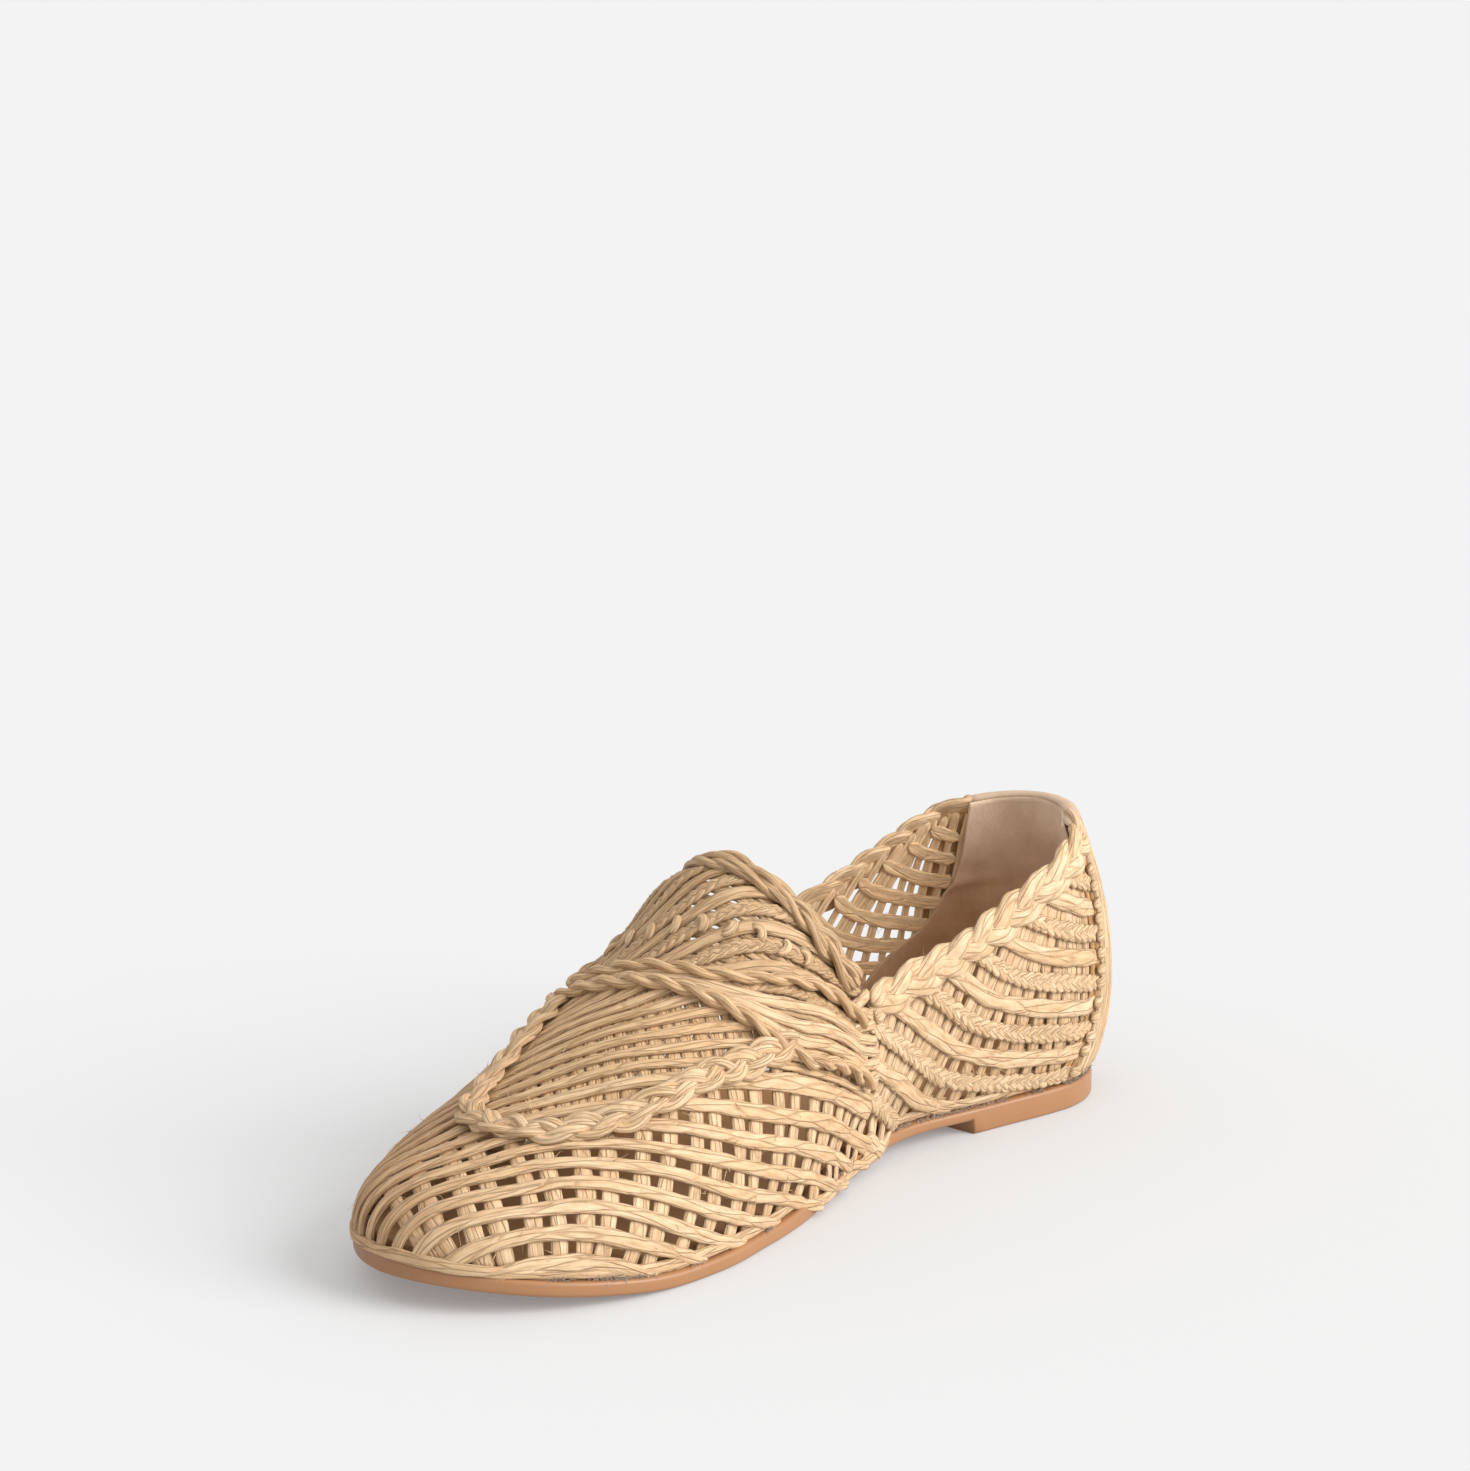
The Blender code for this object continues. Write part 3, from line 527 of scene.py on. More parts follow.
def cord_piece(name, cords, material):
    """One mesh of many cords."""
    faces, first = [], 0
    for made in cords:
        rings, sides = made["crease"].shape
        faces += tube_faces(rings, sides, first)
        first += rings * sides
    points = np.concatenate([made["points"].reshape(-1, 3) for made in cords])
    crease = np.concatenate([made["crease"].ravel() for made in cords])
    tone = np.concatenate([np.full(made["crease"].size, made["tone"]) for made in cords])
    uv = np.concatenate([np.stack([made["along"].ravel(), made["around"].ravel()], -1) for made in cords])
    return new_piece(name, points, faces, material, (("crease", crease), ("tone", tone)), uv)


# Materials
# Flakes of the dry leaf on a strand: length in millimetres, number round it, lean, width of the folds; how
# far apart the patterns of two cords lie
FLAKE_LENGTH = 15.0
FLAKES_ROUND = 6.0
FLAKE_SKEW = 3.0
FOLD_WIDTH = 0.07
PATTERN_SHIFT = 57.0
# Raffia: shares of a cord's own tone and of its flakes in its hue; shares of streaks, pale patches, and of
# the painted shade in creases and folds in its colour; shares of fibres, folds and flakes in its bump, and
# that bump's height in metres
TONE_SHARE = 0.4
FLAKE_SHARE = 0.6
STREAK_SHARE = 0.55
PATCH_SHARE = 0.45
CREASE_SHADE_SHARE = 0.5
FOLD_SHADE_SHARE = 0.30
FIBRE_BUMP = 0.7
FOLD_BUMP = 0.6
FLAKE_BUMP = 0.35
RAFFIA_BUMP = 0.0006
# Tints of the painted shade in the raffia's creases and folds, and of its darker blotches, and the size of
# the blotches
CREASE_SHADE_TINT = (0.62, 0.45, 0.28, 1)
FOLD_SHADE_TINT = (0.55, 0.38, 0.22, 1)
BLOTCH_TINT = (0.84, 0.80, 0.74, 1)
BLOTCH_SCALE = 55.0
# Painted shade on the toe's outer front, which faces away from the key light: its tint, and the ways along
# which it comes in: direction, start and end
TOE_SHADE_TINT = (0.76, 0.68, 0.61)
TOE_SHADE_RAMPS = (((1.0, 0.0, 0.0), 55.0, 100.0), ((0.38, -0.92, 0.0), 22.0, 58.0))
# Sockets of a Mix node of colours: share, first and second colour; result
MIX_INPUTS = (0, 6, 7)
MIX_RESULT = 2
# Heights between which painted shade darkens the heel's lining, deeper in the heel
LINING_HIGH = 64.0
LINING_LOW = 42.0


def new_group(name, inputs, outputs):
    """A shader node group with named sockets: an input is a name, a type and a default, an output a name
    and a type."""
    group = bpy.data.node_groups.new(name, "ShaderNodeTree")
    for label, kind, default in inputs:
        socket = group.interface.new_socket(label, in_out="INPUT", socket_type=kind)
        socket.default_value = default
    for label, kind in outputs:
        group.interface.new_socket(label, in_out="OUTPUT", socket_type=kind)
    return group


def link(tree, source, target):
    """A link from an output socket to an input socket."""
    tree.links.new(source, target)


def node(tree, kind, **settings):
    """A node with its settings; keys that start with in_ set the input of that name or number."""
    made = tree.nodes.new(kind)
    for key, value in settings.items():
        if key.startswith("in_"):
            label = key[3:].replace("_", " ")
            made.inputs[int(label) if label.isdigit() else label].default_value = value
        else:
            setattr(made, key, value)
    return made


def feed(tree, socket, given):
    """A socket linked to another one, or set to a value."""
    if isinstance(given, bpy.types.NodeSocket):
        link(tree, given, socket)
    else:
        socket.default_value = given


def mix_colour(tree, how, share, first, second):
    """A colour mix; share, first and second are sockets or values."""
    mix = node(tree, "ShaderNodeMix", data_type="RGBA", blend_type=how)
    for number, given in zip(MIX_INPUTS, (share, first, second)):
        feed(tree, mix.inputs[number], given)
    return mix.outputs[MIX_RESULT]


def math_node(tree, how, first, second):
    """A reckoning with two sockets or values."""
    made = node(tree, "ShaderNodeMath", operation=how)
    for socket, given in zip(made.inputs, (first, second)):
        feed(tree, socket, given)
    return made.outputs[0]


def node_value(tree, colour):
    """The red of a colour, as a value."""
    apart = node(tree, "ShaderNodeSeparateColor")
    link(tree, colour, apart.inputs[0])
    return apart.outputs[0]


def make_mottle():
    """Mottle: two colours mixed by a soft noise of the given size, on Object coordinates."""
    group = new_group(
        "mottle",
        (("Light", "NodeSocketColor", (1, 1, 1, 1)), ("Dark", "NodeSocketColor", (0, 0, 0, 1)),
         ("Scale", "NodeSocketFloat", 60.0), ("Contrast", "NodeSocketFloat", 1.0)),
        (("Colour", "NodeSocketColor"), ("Height", "NodeSocketFloat")),
    )
    given = node(group, "NodeGroupInput")
    put = node(group, "NodeGroupOutput")
    place = node(group, "ShaderNodeTexCoord")
    noise = node(group, "ShaderNodeTexNoise", in_Detail=5.0, in_Roughness=0.6)
    link(group, place.outputs["Object"], noise.inputs["Vector"])
    link(group, given.outputs["Scale"], noise.inputs["Scale"])
    spread = math_node(group, "SUBTRACT", noise.outputs["Fac"], 0.5)
    spread = math_node(group, "MULTIPLY", spread, given.outputs["Contrast"])
    share = math_node(group, "ADD", spread, 0.5)
    share.node.use_clamp = True
    link(group, mix_colour(group, "MIX", share, given.outputs["Dark"], given.outputs["Light"]),
         put.inputs["Colour"])
    link(group, noise.outputs["Fac"], put.inputs["Height"])


def make_fibres():
    """Fibres of a strand, on its UV: fine lines along it, pale patches, long skewed flakes each with a
    shade of its own, and the folds between flakes."""
    group = new_group(
        "fibres",
        (("Along", "NodeSocketFloat", 0.12), ("Around", "NodeSocketFloat", 22.0)),
        (("Lines", "NodeSocketFloat"), ("Patches", "NodeSocketFloat"), ("Flakes", "NodeSocketFloat"),
         ("Folds", "NodeSocketFloat")),
    )
    given = node(group, "NodeGroupInput")
    put = node(group, "NodeGroupOutput")
    strand = node(group, "ShaderNodeUVMap", uv_map="strand")
    parts = node(group, "ShaderNodeSeparateXYZ")
    link(group, strand.outputs["UV"], parts.inputs[0])
    tone = node(group, "ShaderNodeAttribute", attribute_name="tone")
    own = math_node(group, "MULTIPLY", tone.outputs["Fac"], PATTERN_SHIFT)
    along = math_node(group, "MULTIPLY", parts.outputs["X"], given.outputs["Along"])
    around = math_node(group, "MULTIPLY", parts.outputs["Y"], given.outputs["Around"])
    for label, stretch, detail in (("Lines", 1.0, 3.0), ("Patches", 0.35, 2.0)):
        place = node(group, "ShaderNodeCombineXYZ")
        link(group, math_node(group, "MULTIPLY", along, stretch), place.inputs[0])
        link(group, math_node(group, "MULTIPLY", around, stretch), place.inputs[1])
        link(group, own, place.inputs[2])
        noise = node(group, "ShaderNodeTexNoise", in_Scale=1.0, in_Detail=detail, in_Roughness=0.65)
        link(group, place.outputs[0], noise.inputs["Vector"])
        link(group, noise.outputs["Fac"], put.inputs[label])
    place = node(group, "ShaderNodeCombineXYZ")
    skew = math_node(group, "MULTIPLY", parts.outputs["Y"], FLAKE_SKEW)
    link(group, math_node(group, "ADD", math_node(group, "DIVIDE", parts.outputs["X"], FLAKE_LENGTH), skew),
         place.inputs[0])
    link(group, math_node(group, "MULTIPLY", parts.outputs["Y"], FLAKES_ROUND), place.inputs[1])
    link(group, own, place.inputs[2])
    flakes = node(group, "ShaderNodeTexVoronoi", feature="F1", in_Scale=1.0)
    link(group, place.outputs[0], flakes.inputs["Vector"])
    link(group, node_value(group, flakes.outputs["Color"]), put.inputs["Flakes"])
    borders = node(group, "ShaderNodeTexVoronoi", feature="DISTANCE_TO_EDGE", in_Scale=1.0)
    link(group, place.outputs[0], borders.inputs["Vector"])
    near = node(group, "ShaderNodeMapRange", in_From_Max=FOLD_WIDTH, in_To_Min=1.0, in_To_Max=0.0)
    link(group, borders.outputs["Distance"], near.inputs["Value"])
    link(group, near.outputs[0], put.inputs["Folds"])


def make_toe_painted_shade():
    """Painted shade: a colour darkened on the toe's outer front, which faces away from the key light, by a
    ramp along the shoe times one across it.
    """
    group = new_group(
        "toe_painted_shade", (("Colour", "NodeSocketColor", (1, 1, 1, 1)),), (("Colour", "NodeSocketColor"),))
    given = node(group, "NodeGroupInput")
    put = node(group, "NodeGroupOutput")
    place = node(group, "ShaderNodeTexCoord")
    share = 1.0
    for way, first, last in TOE_SHADE_RAMPS:
        along = node(group, "ShaderNodeVectorMath", operation="DOT_PRODUCT")
        link(group, place.outputs["Object"], along.inputs[0])
        along.inputs[1].default_value = way
        ramp = node(group, "ShaderNodeMapRange", in_From_Min=first * MM, in_From_Max=last * MM)
        link(group, along.outputs["Value"], ramp.inputs["Value"])
        share = math_node(group, "MULTIPLY", ramp.outputs[0], share)
    toe_shaded_colour = mix_colour(group, "MULTIPLY", share, given.outputs["Colour"], (*TOE_SHADE_TINT, 1))
    link(group, toe_shaded_colour, put.inputs["Colour"])


def finish_colour(tree, shader, colour):
    """A colour through the painted shade of the toe into the shader."""
    toe_shade = node(tree, "ShaderNodeGroup", node_tree=bpy.data.node_groups["toe_painted_shade"])
    link(tree, colour, toe_shade.inputs["Colour"])
    link(tree, toe_shade.outputs["Colour"], shader.inputs["Base Color"])


def finish_bump(tree, shader, height, strength, depth):
    """A height as bump into the shader; its depth is in metres."""
    bump = node(tree, "ShaderNodeBump", in_Strength=strength, in_Distance=depth)
    link(tree, height, bump.inputs["Height"])
    link(tree, bump.outputs["Normal"], shader.inputs["Normal"])


def new_material(name, roughness):
    """A material with its node tree and its shader."""
    material = bpy.data.materials.new(name)
    material.use_nodes = True
    shader = material.node_tree.nodes["Principled BSDF"]
    shader.inputs["Roughness"].default_value = roughness
    return material, material.node_tree, shader


def make_raffia(name, pale, honey, shade, glow=0.0):
    """Dry raffia: honey and pale flakes, with painted shade in folds and creases, with fine fibres as bump;
    glow is painted light, an emission that stands for the light that comes through thin cords from behind."""
    material, tree, shader = new_material(name, roughness=0.62)
    shader.inputs["Emission Color"].default_value = (*honey, 1)
    shader.inputs["Emission Strength"].default_value = glow
    fibres = node(tree, "ShaderNodeGroup", node_tree=bpy.data.node_groups["fibres"])
    tone = node(tree, "ShaderNodeAttribute", attribute_name="tone")
    crease = node(tree, "ShaderNodeAttribute", attribute_name="crease")
    blotch = node(tree, "ShaderNodeGroup", node_tree=bpy.data.node_groups["mottle"])
    blotch.inputs["Scale"].default_value = BLOTCH_SCALE
    blotch.inputs["Dark"].default_value = BLOTCH_TINT
    own = math_node(tree, "ADD", math_node(tree, "MULTIPLY", tone.outputs["Fac"], TONE_SHARE),
                    math_node(tree, "MULTIPLY", fibres.outputs["Flakes"], FLAKE_SHARE))
    base = mix_colour(tree, "MIX", own, (*pale, 1), (*honey, 1))
    streak = node(tree, "ShaderNodeMapRange", in_From_Min=0.42, in_From_Max=0.68)
    link(tree, fibres.outputs["Lines"], streak.inputs["Value"])
    streaked = math_node(tree, "MULTIPLY", streak.outputs[0], STREAK_SHARE)
    base = mix_colour(tree, "MIX", streaked, base, (*shade, 1))
    patch = node(tree, "ShaderNodeMapRange", in_From_Min=0.5, in_From_Max=0.75)
    link(tree, fibres.outputs["Patches"], patch.inputs["Value"])
    patched = math_node(tree, "MULTIPLY", patch.outputs[0], PATCH_SHARE)
    base = mix_colour(tree, "MIX", patched, base, (*pale, 1))
    base = mix_colour(tree, "MULTIPLY", 1.0, base, blotch.outputs["Colour"])
    # Painted shade in the cord's grooves
    crease_shade = math_node(tree, "MULTIPLY", crease.outputs["Fac"], CREASE_SHADE_SHARE)
    base = mix_colour(tree, "MULTIPLY", crease_shade, base, CREASE_SHADE_TINT)
    # Painted shade in the folds between flakes
    fold_shade = math_node(tree, "MULTIPLY", fibres.outputs["Folds"], FOLD_SHADE_SHARE)
    base = mix_colour(tree, "MULTIPLY", fold_shade, base, FOLD_SHADE_TINT)
    finish_colour(tree, shader, base)
    height = math_node(tree, "SUBTRACT", math_node(tree, "MULTIPLY", fibres.outputs["Lines"], FIBRE_BUMP),
                       math_node(tree, "MULTIPLY", fibres.outputs["Folds"], FOLD_BUMP))
    height = math_node(tree, "ADD", height, math_node(tree, "MULTIPLY", fibres.outputs["Flakes"], FLAKE_BUMP))
    finish_bump(tree, shader, height, strength=0.8, depth=RAFFIA_BUMP)
    rough = node(tree, "ShaderNodeMapRange", in_To_Min=0.48, in_To_Max=0.75)
    link(tree, fibres.outputs["Lines"], rough.inputs["Value"])
    link(tree, rough.outputs[0], shader.inputs["Roughness"])
    return material


def make_surface(name, light, dark, scale, contrast, roughness, grain, depth, sheen=0.0, low=None):
    """A mottled surface with a grain as bump: suede, leather or moulded rubber; low is painted shade, a
    darkening tint that comes in from the height LINING_HIGH down to LINING_LOW."""
    material, tree, shader = new_material(name, roughness)
    shader.inputs["Sheen Weight"].default_value = sheen
    mottle = node(tree, "ShaderNodeGroup", node_tree=bpy.data.node_groups["mottle"])
    mottle.inputs["Light"].default_value = (*light, 1)
    mottle.inputs["Dark"].default_value = (*dark, 1)
    mottle.inputs["Scale"].default_value = scale
    mottle.inputs["Contrast"].default_value = contrast
    colour = mottle.outputs["Colour"]
    # Painted shade: darker lower down, as deep inside the heel
    if low:
        place = node(tree, "ShaderNodeTexCoord")
        height = node(tree, "ShaderNodeSeparateXYZ")
        link(tree, place.outputs["Object"], height.inputs[0])
        depth_shade = node(tree, "ShaderNodeMapRange", in_From_Min=LINING_HIGH * MM, in_From_Max=LINING_LOW * MM)
        link(tree, height.outputs["Z"], depth_shade.inputs["Value"])
        colour = mix_colour(tree, "MULTIPLY", depth_shade.outputs[0], colour, (*low, 1))
    finish_colour(tree, shader, colour)
    fine = node(tree, "ShaderNodeGroup", node_tree=bpy.data.node_groups["mottle"])
    fine.inputs["Scale"].default_value = grain
    finish_bump(tree, shader, fine.outputs["Height"], strength=0.5, depth=depth)
    return material


make_mottle()
make_fibres()
# Painted shade on the toe's outer front, which every material's colour passes through
make_toe_painted_shade()
raffia = make_raffia(
    "raffia", pale=(0.82, 0.62, 0.405), honey=(0.70, 0.475, 0.265), shade=(0.46, 0.27, 0.12))
# Painted shade: a darker copy of the raffia for the instep and the throat's braid, which face up and take
# less of the key light
shaded_instep_raffia = make_raffia(
    "shaded_instep_raffia", pale=(0.72, 0.535, 0.345), honey=(0.59, 0.395, 0.215), shade=(0.38, 0.22, 0.095))
seam_raffia = make_raffia(
    "seam_raffia", pale=(0.62, 0.38, 0.17), honey=(0.52, 0.29, 0.12), shade=(0.34, 0.18, 0.07))
# Painted light: raffia that glows a little, standing for light that comes through thin cords from behind
painted_glow_raffia = make_raffia(
    "painted_glow_raffia", pale=(0.82, 0.62, 0.405), honey=(0.74, 0.49, 0.26), shade=(0.48, 0.27, 0.12), glow=0.13)
# The suede's low tint is painted shade inside the heel
suede = make_surface(
    "suede", light=(0.84, 0.65, 0.48), dark=(0.60, 0.42, 0.285), scale=90, contrast=2.0, roughness=0.95,
    grain=900, depth=0.0004, sheen=0.4, low=(0.72, 0.60, 0.46))
rim = make_surface(
    "suede_rim", light=(0.60, 0.44, 0.31), dark=(0.47, 0.33, 0.22), scale=140, contrast=1.6, roughness=0.95,
    grain=900, depth=0.0004)
rubber = make_surface(
    "sole_rubber", light=(0.375, 0.18, 0.077), dark=(0.335, 0.158, 0.066), scale=40, contrast=1.2,
    roughness=0.42, grain=500, depth=0.0001)
sock = make_surface(
    "insole_sock", light=(0.60, 0.34, 0.15), dark=(0.50, 0.27, 0.115), scale=70, contrast=1.2, roughness=0.7,
    grain=700, depth=0.0002)
lint = make_surface(
    "joint_lint", light=(0.56, 0.46, 0.38), dark=(0.38, 0.29, 0.22), scale=200, contrast=1.6, roughness=0.95,
    grain=900, depth=0.0004)


# Vamp
# Half height and lift of the rows, and of the cross cords with their step along a path and their twist
ROW_HEIGHT = 0.75
ROW_LIFT = -0.6
RUNG_HEIGHT = 0.6
RUNG_LIFT = -1.6
RUNG_STEP = 1.3
RUNG_TWIST = 40.0
# Rows: points of their whole way over the vamp and round the wall, how near the tip they come, shortest row,
# fewest points of a row on instep and quarter, least and most half width, share of the pitch at which the
# distance to the next row is read
ROW_POINTS = 420
WALL_POINTS = 300
TIP_GAP = 0.02
SHORTEST_ROW = 8
FEWEST_POINTS = 12
ROW_WIDTHS = (1.0, 2.4)
PITCH_SHARE = 0.2
# Cord along the feather line: points round the toe, first and last station, height of its middle over the
# line, half width, shares of the hang and of the puff that it follows
BORDER_POINTS = 900
BORDER_ENDS = (12.0, UPPER_TIP - 0.05)
BORDER_RISE = 1.2
BORDER_WIDTH = 1.5
BORDER_HANG = 0.8
BORDER_PUFF = 1.3
# How far past the feather line the rows go down behind the sole's edge, in degrees of turn, and at the toe,
# where they end behind the border cord
TUCK = 1.6
TOE_TUCK = -1.4
# At the inner waist the weave hangs over the sole: station of the middle, reach to each side, length over
# which it starts, height that it hangs down, height that it keeps over the floor, how far out, height of
# its flare
HANG_MIDDLE = 124.0
HANG_REACH = 30.0
HANG_START = 14.0
HANG_DROP = 4.4
FLOOR_CLEARANCE = 2.2
HANG_OUT = 3.0
HANG_FLARE = 6.0
# The toe puffs out over the sole: station, how far; least puff that shortens the rows
PUFF = ((200, 0.0), (226, 0.0), (246, 1.7), (250, 1.7))
LEAST_PUFF = 0.05
# Half width of a row as a share of the pitch, by row
ROW_SHARE = ((-12, 0.43), (-6, 0.37), (-2, 0.32), (0, 0.305), (2, 0.295), (9, 0.29))
# Row that the cross cords start from, first and last station, pitch, half width, how they pair off:
# those of the wall, of the waist and of the plug
RUNG_STARTS = {
    "wall": (4, SEAM_X, UPPER_TIP, 7.0, 2.1, 0.07),
    "waist": (1, SEAM_X, 143.0, 6.2, 2.1, 0.07),
    "plug": (-2, 150.0, 211.0, 3.9, 1.8, 0.03),
}
# Way of the cross cords: number of steps up and down, number that a cord has more than, length of a step,
# first and last station; what they leave free of the plug, in degrees; how their widths differ
STEPS_UP = 100
STEPS_DOWN = 45
FEWEST_STEPS = 5
WAY_STEP = 1.2
WAY_ENDS = (SEAM_X - 5.0, UPPER_TIP - 0.1)
PLUG_MARGIN = 1.5
RUNG_VARIETY = (0.88, 1.14)


def hang_share(x):
    """How much the weave hangs over the sole at a station of the inner side, from 0 to 1."""
    rise = np.clip((HANG_REACH - np.abs(x - HANG_MIDDLE)) / HANG_START, 0.0, 1.0)
    return rise**2 * (3 - 2 * rise)


def hang_drop(x, side):
    """How far below the feather line the weave hangs at a station."""
    drop = np.minimum(HANG_DROP * hang_share(x), np.maximum(feather(x) - FLOOR_CLEARANCE, 0.0))
    return np.where(np.asarray(side) > 0, drop, 0.0)


def row_tuck(x, turn):
    """Degrees of turn that rows go on past the feather line: those of the drop on the upright wall."""
    low = np.degrees(np.arctan2(side_width(x, 1), OVERLAY_REACH - hang_drop(x, turn)))
    hang = low - np.degrees(np.arctan2(side_width(x, 1), OVERLAY_REACH))
    return np.maximum(hang, np.where(smooth(PUFF, 1, x) > LEAST_PUFF, TOE_TUCK, TUCK))


def bulge_out(path):
    """How far the weave stands off the last: the flare over the sole at the waist and the puffed toe."""
    x, y, z = path.T
    inner = y > last_value("centre", x)
    flare = np.clip((feather(x) + HANG_FLARE - z) / HANG_FLARE, 0.0, 1.0)
    return HANG_OUT * np.where(inner, hang_share(x) * flare, 0.0) + smooth(PUFF, 1, x)


def vamp_row(j):
    """Path of row j over the vamp, as far as it stays between the feather lines and the saddle; its
    stations are a sine's, closer towards the tip."""
    quarter_wave = np.sin(np.linspace(0.0, math.pi / 2, ROW_POINTS))
    x = SEAM_X + (UPPER_TIP - TIP_GAP - SEAM_X) * quarter_wave
    turn = row_turn(j, x)
    keep = on_vamp(x, turn, row_tuck(x, turn))
    return vamp_point(x[keep], np.radians(turn[keep]))


def row_half_width(j, path):
    """Half width of a row: a share of the distance to the next row, square to the row's heading."""
    x = path[:, 0]
    turn = path_turn(path)
    step = np.radians(row_turn(j + 1, x) - row_turn(j, x))
    away = vamp_point(x, np.radians(turn) + PITCH_SHARE * step) - path
    heading = unit(np.gradient(path, axis=0))
    away = away - heading * np.sum(away * heading, axis=1, keepdims=True)
    return np.clip(smooth(ROW_SHARE, 1, j) * np.linalg.norm(away, axis=1) / PITCH_SHARE, *ROW_WIDTHS)


def vamp_rows():
    """Rows of the vamp, with painted shade on the plug and the outer side, and the cord along the feather
    line.
    """
    rows = []
    for j in range(*VAMP_ROWS):
        path = vamp_row(j)
        if len(path) > SHORTEST_ROW and lengths(path)[-1] > SHORTEST_ROW:
            path = even(path, CORD_STEP)
            row = [cord(path, row_half_width(j, path), ROW_HEIGHT, ROW_LIFT + bulge_out(path))]
            # Rows of the plug and the outer side get painted shade
            rows += with_painted_shade(row) if j < 0 else row
    return rows + [border_cord()]


def border_cord():
    """Cord along the feather line, from one side of the heel round the toe to the other, lower where the
    weave hangs over the sole."""
    round_toe = np.linspace(0.0, 2 * math.pi, BORDER_POINTS)
    first, last = BORDER_ENDS
    x = first + (last - first) * (1 - np.cos(round_toe)) / 2
    side = np.where(round_toe < math.pi, 1, -1)
    hang = np.where(side > 0, hang_share(x), 0.0)
    width = plan_width(x, side, BORDER_HANG * HANG_OUT * hang, UPPER_BACK, UPPER_TIP)
    y = last_value("centre", x) + side * width
    path = even(np.stack([x, y, feather(x) + BORDER_RISE - hang_drop(x, side)], -1), CORD_STEP)
    return cord(path, BORDER_WIDTH, ROW_HEIGHT, ROW_LIFT + BORDER_PUFF * smooth(PUFF, 1, path[:, 0]))


def across_rows(x, turn, way, steps):
    """Paths square to the rows, from places on the vamp: at each step the way on the surface is square
    to the row through the place."""
    small, small_turn = 0.05, 0.001
    stations, turns = [x], [turn]
    for _ in range(steps):
        j = row_number(x, turn)
        slope = np.radians(row_turn(j, x + small) - row_turn(j, x - small)) / (2 * small)
        here = vamp_point(x, np.radians(turn))
        ahead = (vamp_point(x + small, np.radians(turn)) - here) / small
        aside = (vamp_point(x, np.radians(turn) + small_turn) - here) / small_turn
        e, f, g = (np.sum(a * b, axis=1) for a, b in ((ahead, ahead), (ahead, aside), (aside, aside)))
        dx, dt = -(f + slope * g), e + slope * f
        length = np.linalg.norm(ahead * dx[:, None] + aside * dt[:, None], axis=1)
        x = np.clip(x + way * WAY_STEP * dx / length, *WAY_ENDS)
        turn = turn + way * WAY_STEP * np.degrees(dt / length)
        stations.append(x)
        turns.append(turn)
    return np.stack(stations), np.stack(turns)


def vamp_rungs():
    """Cross cords under the rows, square to them: those of the wall and waist end at the plug's braid or
    go on over the toe, those of the plug lie closer and go on down the outer side."""
    rungs = []
    for region, (row, first, last, pitch, half_width, pairing) in RUNG_STARTS.items():
        base = vamp_row(row)
        base = base[(base[:, 0] > first) & (base[:, 0] < last)]
        along = lengths(base)
        count = int(along[-1] / pitch)
        step = np.arange(count)
        wanted = (step + 0.5 + pairing * np.where(step % 2 == 0, 1, -1)) * pitch
        x = np.interp(wanted, along, base[:, 0])
        turn = row_turn(row, x)
        up_x, up_turn = across_rows(x, turn, -1, STEPS_UP)
        down_x, down_turn = across_rows(x, turn, 1, STEPS_DOWN)
        all_x = np.concatenate([up_x[::-1], down_x[1:]])
        all_turn = np.concatenate([up_turn[::-1], down_turn[1:]])
        keep = on_vamp(all_x, all_turn, row_tuck(all_x, all_turn))
        inner_wall = (all_turn > PLUG_OUTER_TURN) & ~on_plug(all_x, all_turn)
        keep &= ~inner_wall if region == "plug" else ~on_plug(all_x, all_turn + PLUG_MARGIN)
        middle = STEPS_UP
        for i in range(count):
            broken_up = np.flatnonzero(~keep[:middle, i])
            broken_down = np.flatnonzero(~keep[middle:, i])
            start = broken_up[-1] + 1 if len(broken_up) else 0
            end = middle + broken_down[0] if len(broken_down) else len(keep)
            if end - start > FEWEST_STEPS:
                path = vamp_point(all_x[start:end, i], np.radians(all_turn[start:end, i]))
                path = even(path, RUNG_STEP)
                width = half_width * CHANCE.uniform(*RUNG_VARIETY)
                rung = [cord(path, width, RUNG_HEIGHT, RUNG_LIFT + bulge_out(path), RUNG_TWIST)]
                # Cross cords of the plug get painted shade
                rungs += with_painted_shade(rung) if region == "plug" else rung
    return rungs


# Instep, between the throat and the saddle
# Turn of its ends beside the saddle and turn past which it has no rows, its foremost station, how far its
# rows go under the saddle and stay off the throat's edge
INSTEP_SPAN = 32.0
INSTEP_REACH = 33.0
INSTEP_END = 176.0
UNDER_SADDLE = 1.0
OFF_THROAT = 0.5
# Cross cords of the instep: number, place of the first, half width, how far across they go
INSTEP_RUNGS = 9
FIRST_RUNG = 0.6
INSTEP_RUNG_WIDTH = 1.9
INSTEP_RUNG_REACH = 0.97
# Small braids among the rows: half width and strand's half width as shares of the row's, strand's half
# height, wave, lift over the plain rows, rise of a strand: those of the instep and of the quarter
SMALL_BRAIDS = {
    "instep": (0.5, 0.62, 0.7, 8.0, 0.1, 0.3),
    "quarter": (0.51, 0.58, 0.65, 8.5, 0.2, 0.25),
}
# Puff of the instep beside the ridge: how far, station and turn of its middle, reach along and across
INSTEP_PUFF = 2.8
PUFF_MIDDLE = (138.5, -10.0)
PUFF_REACH = (8.0, 13.0)


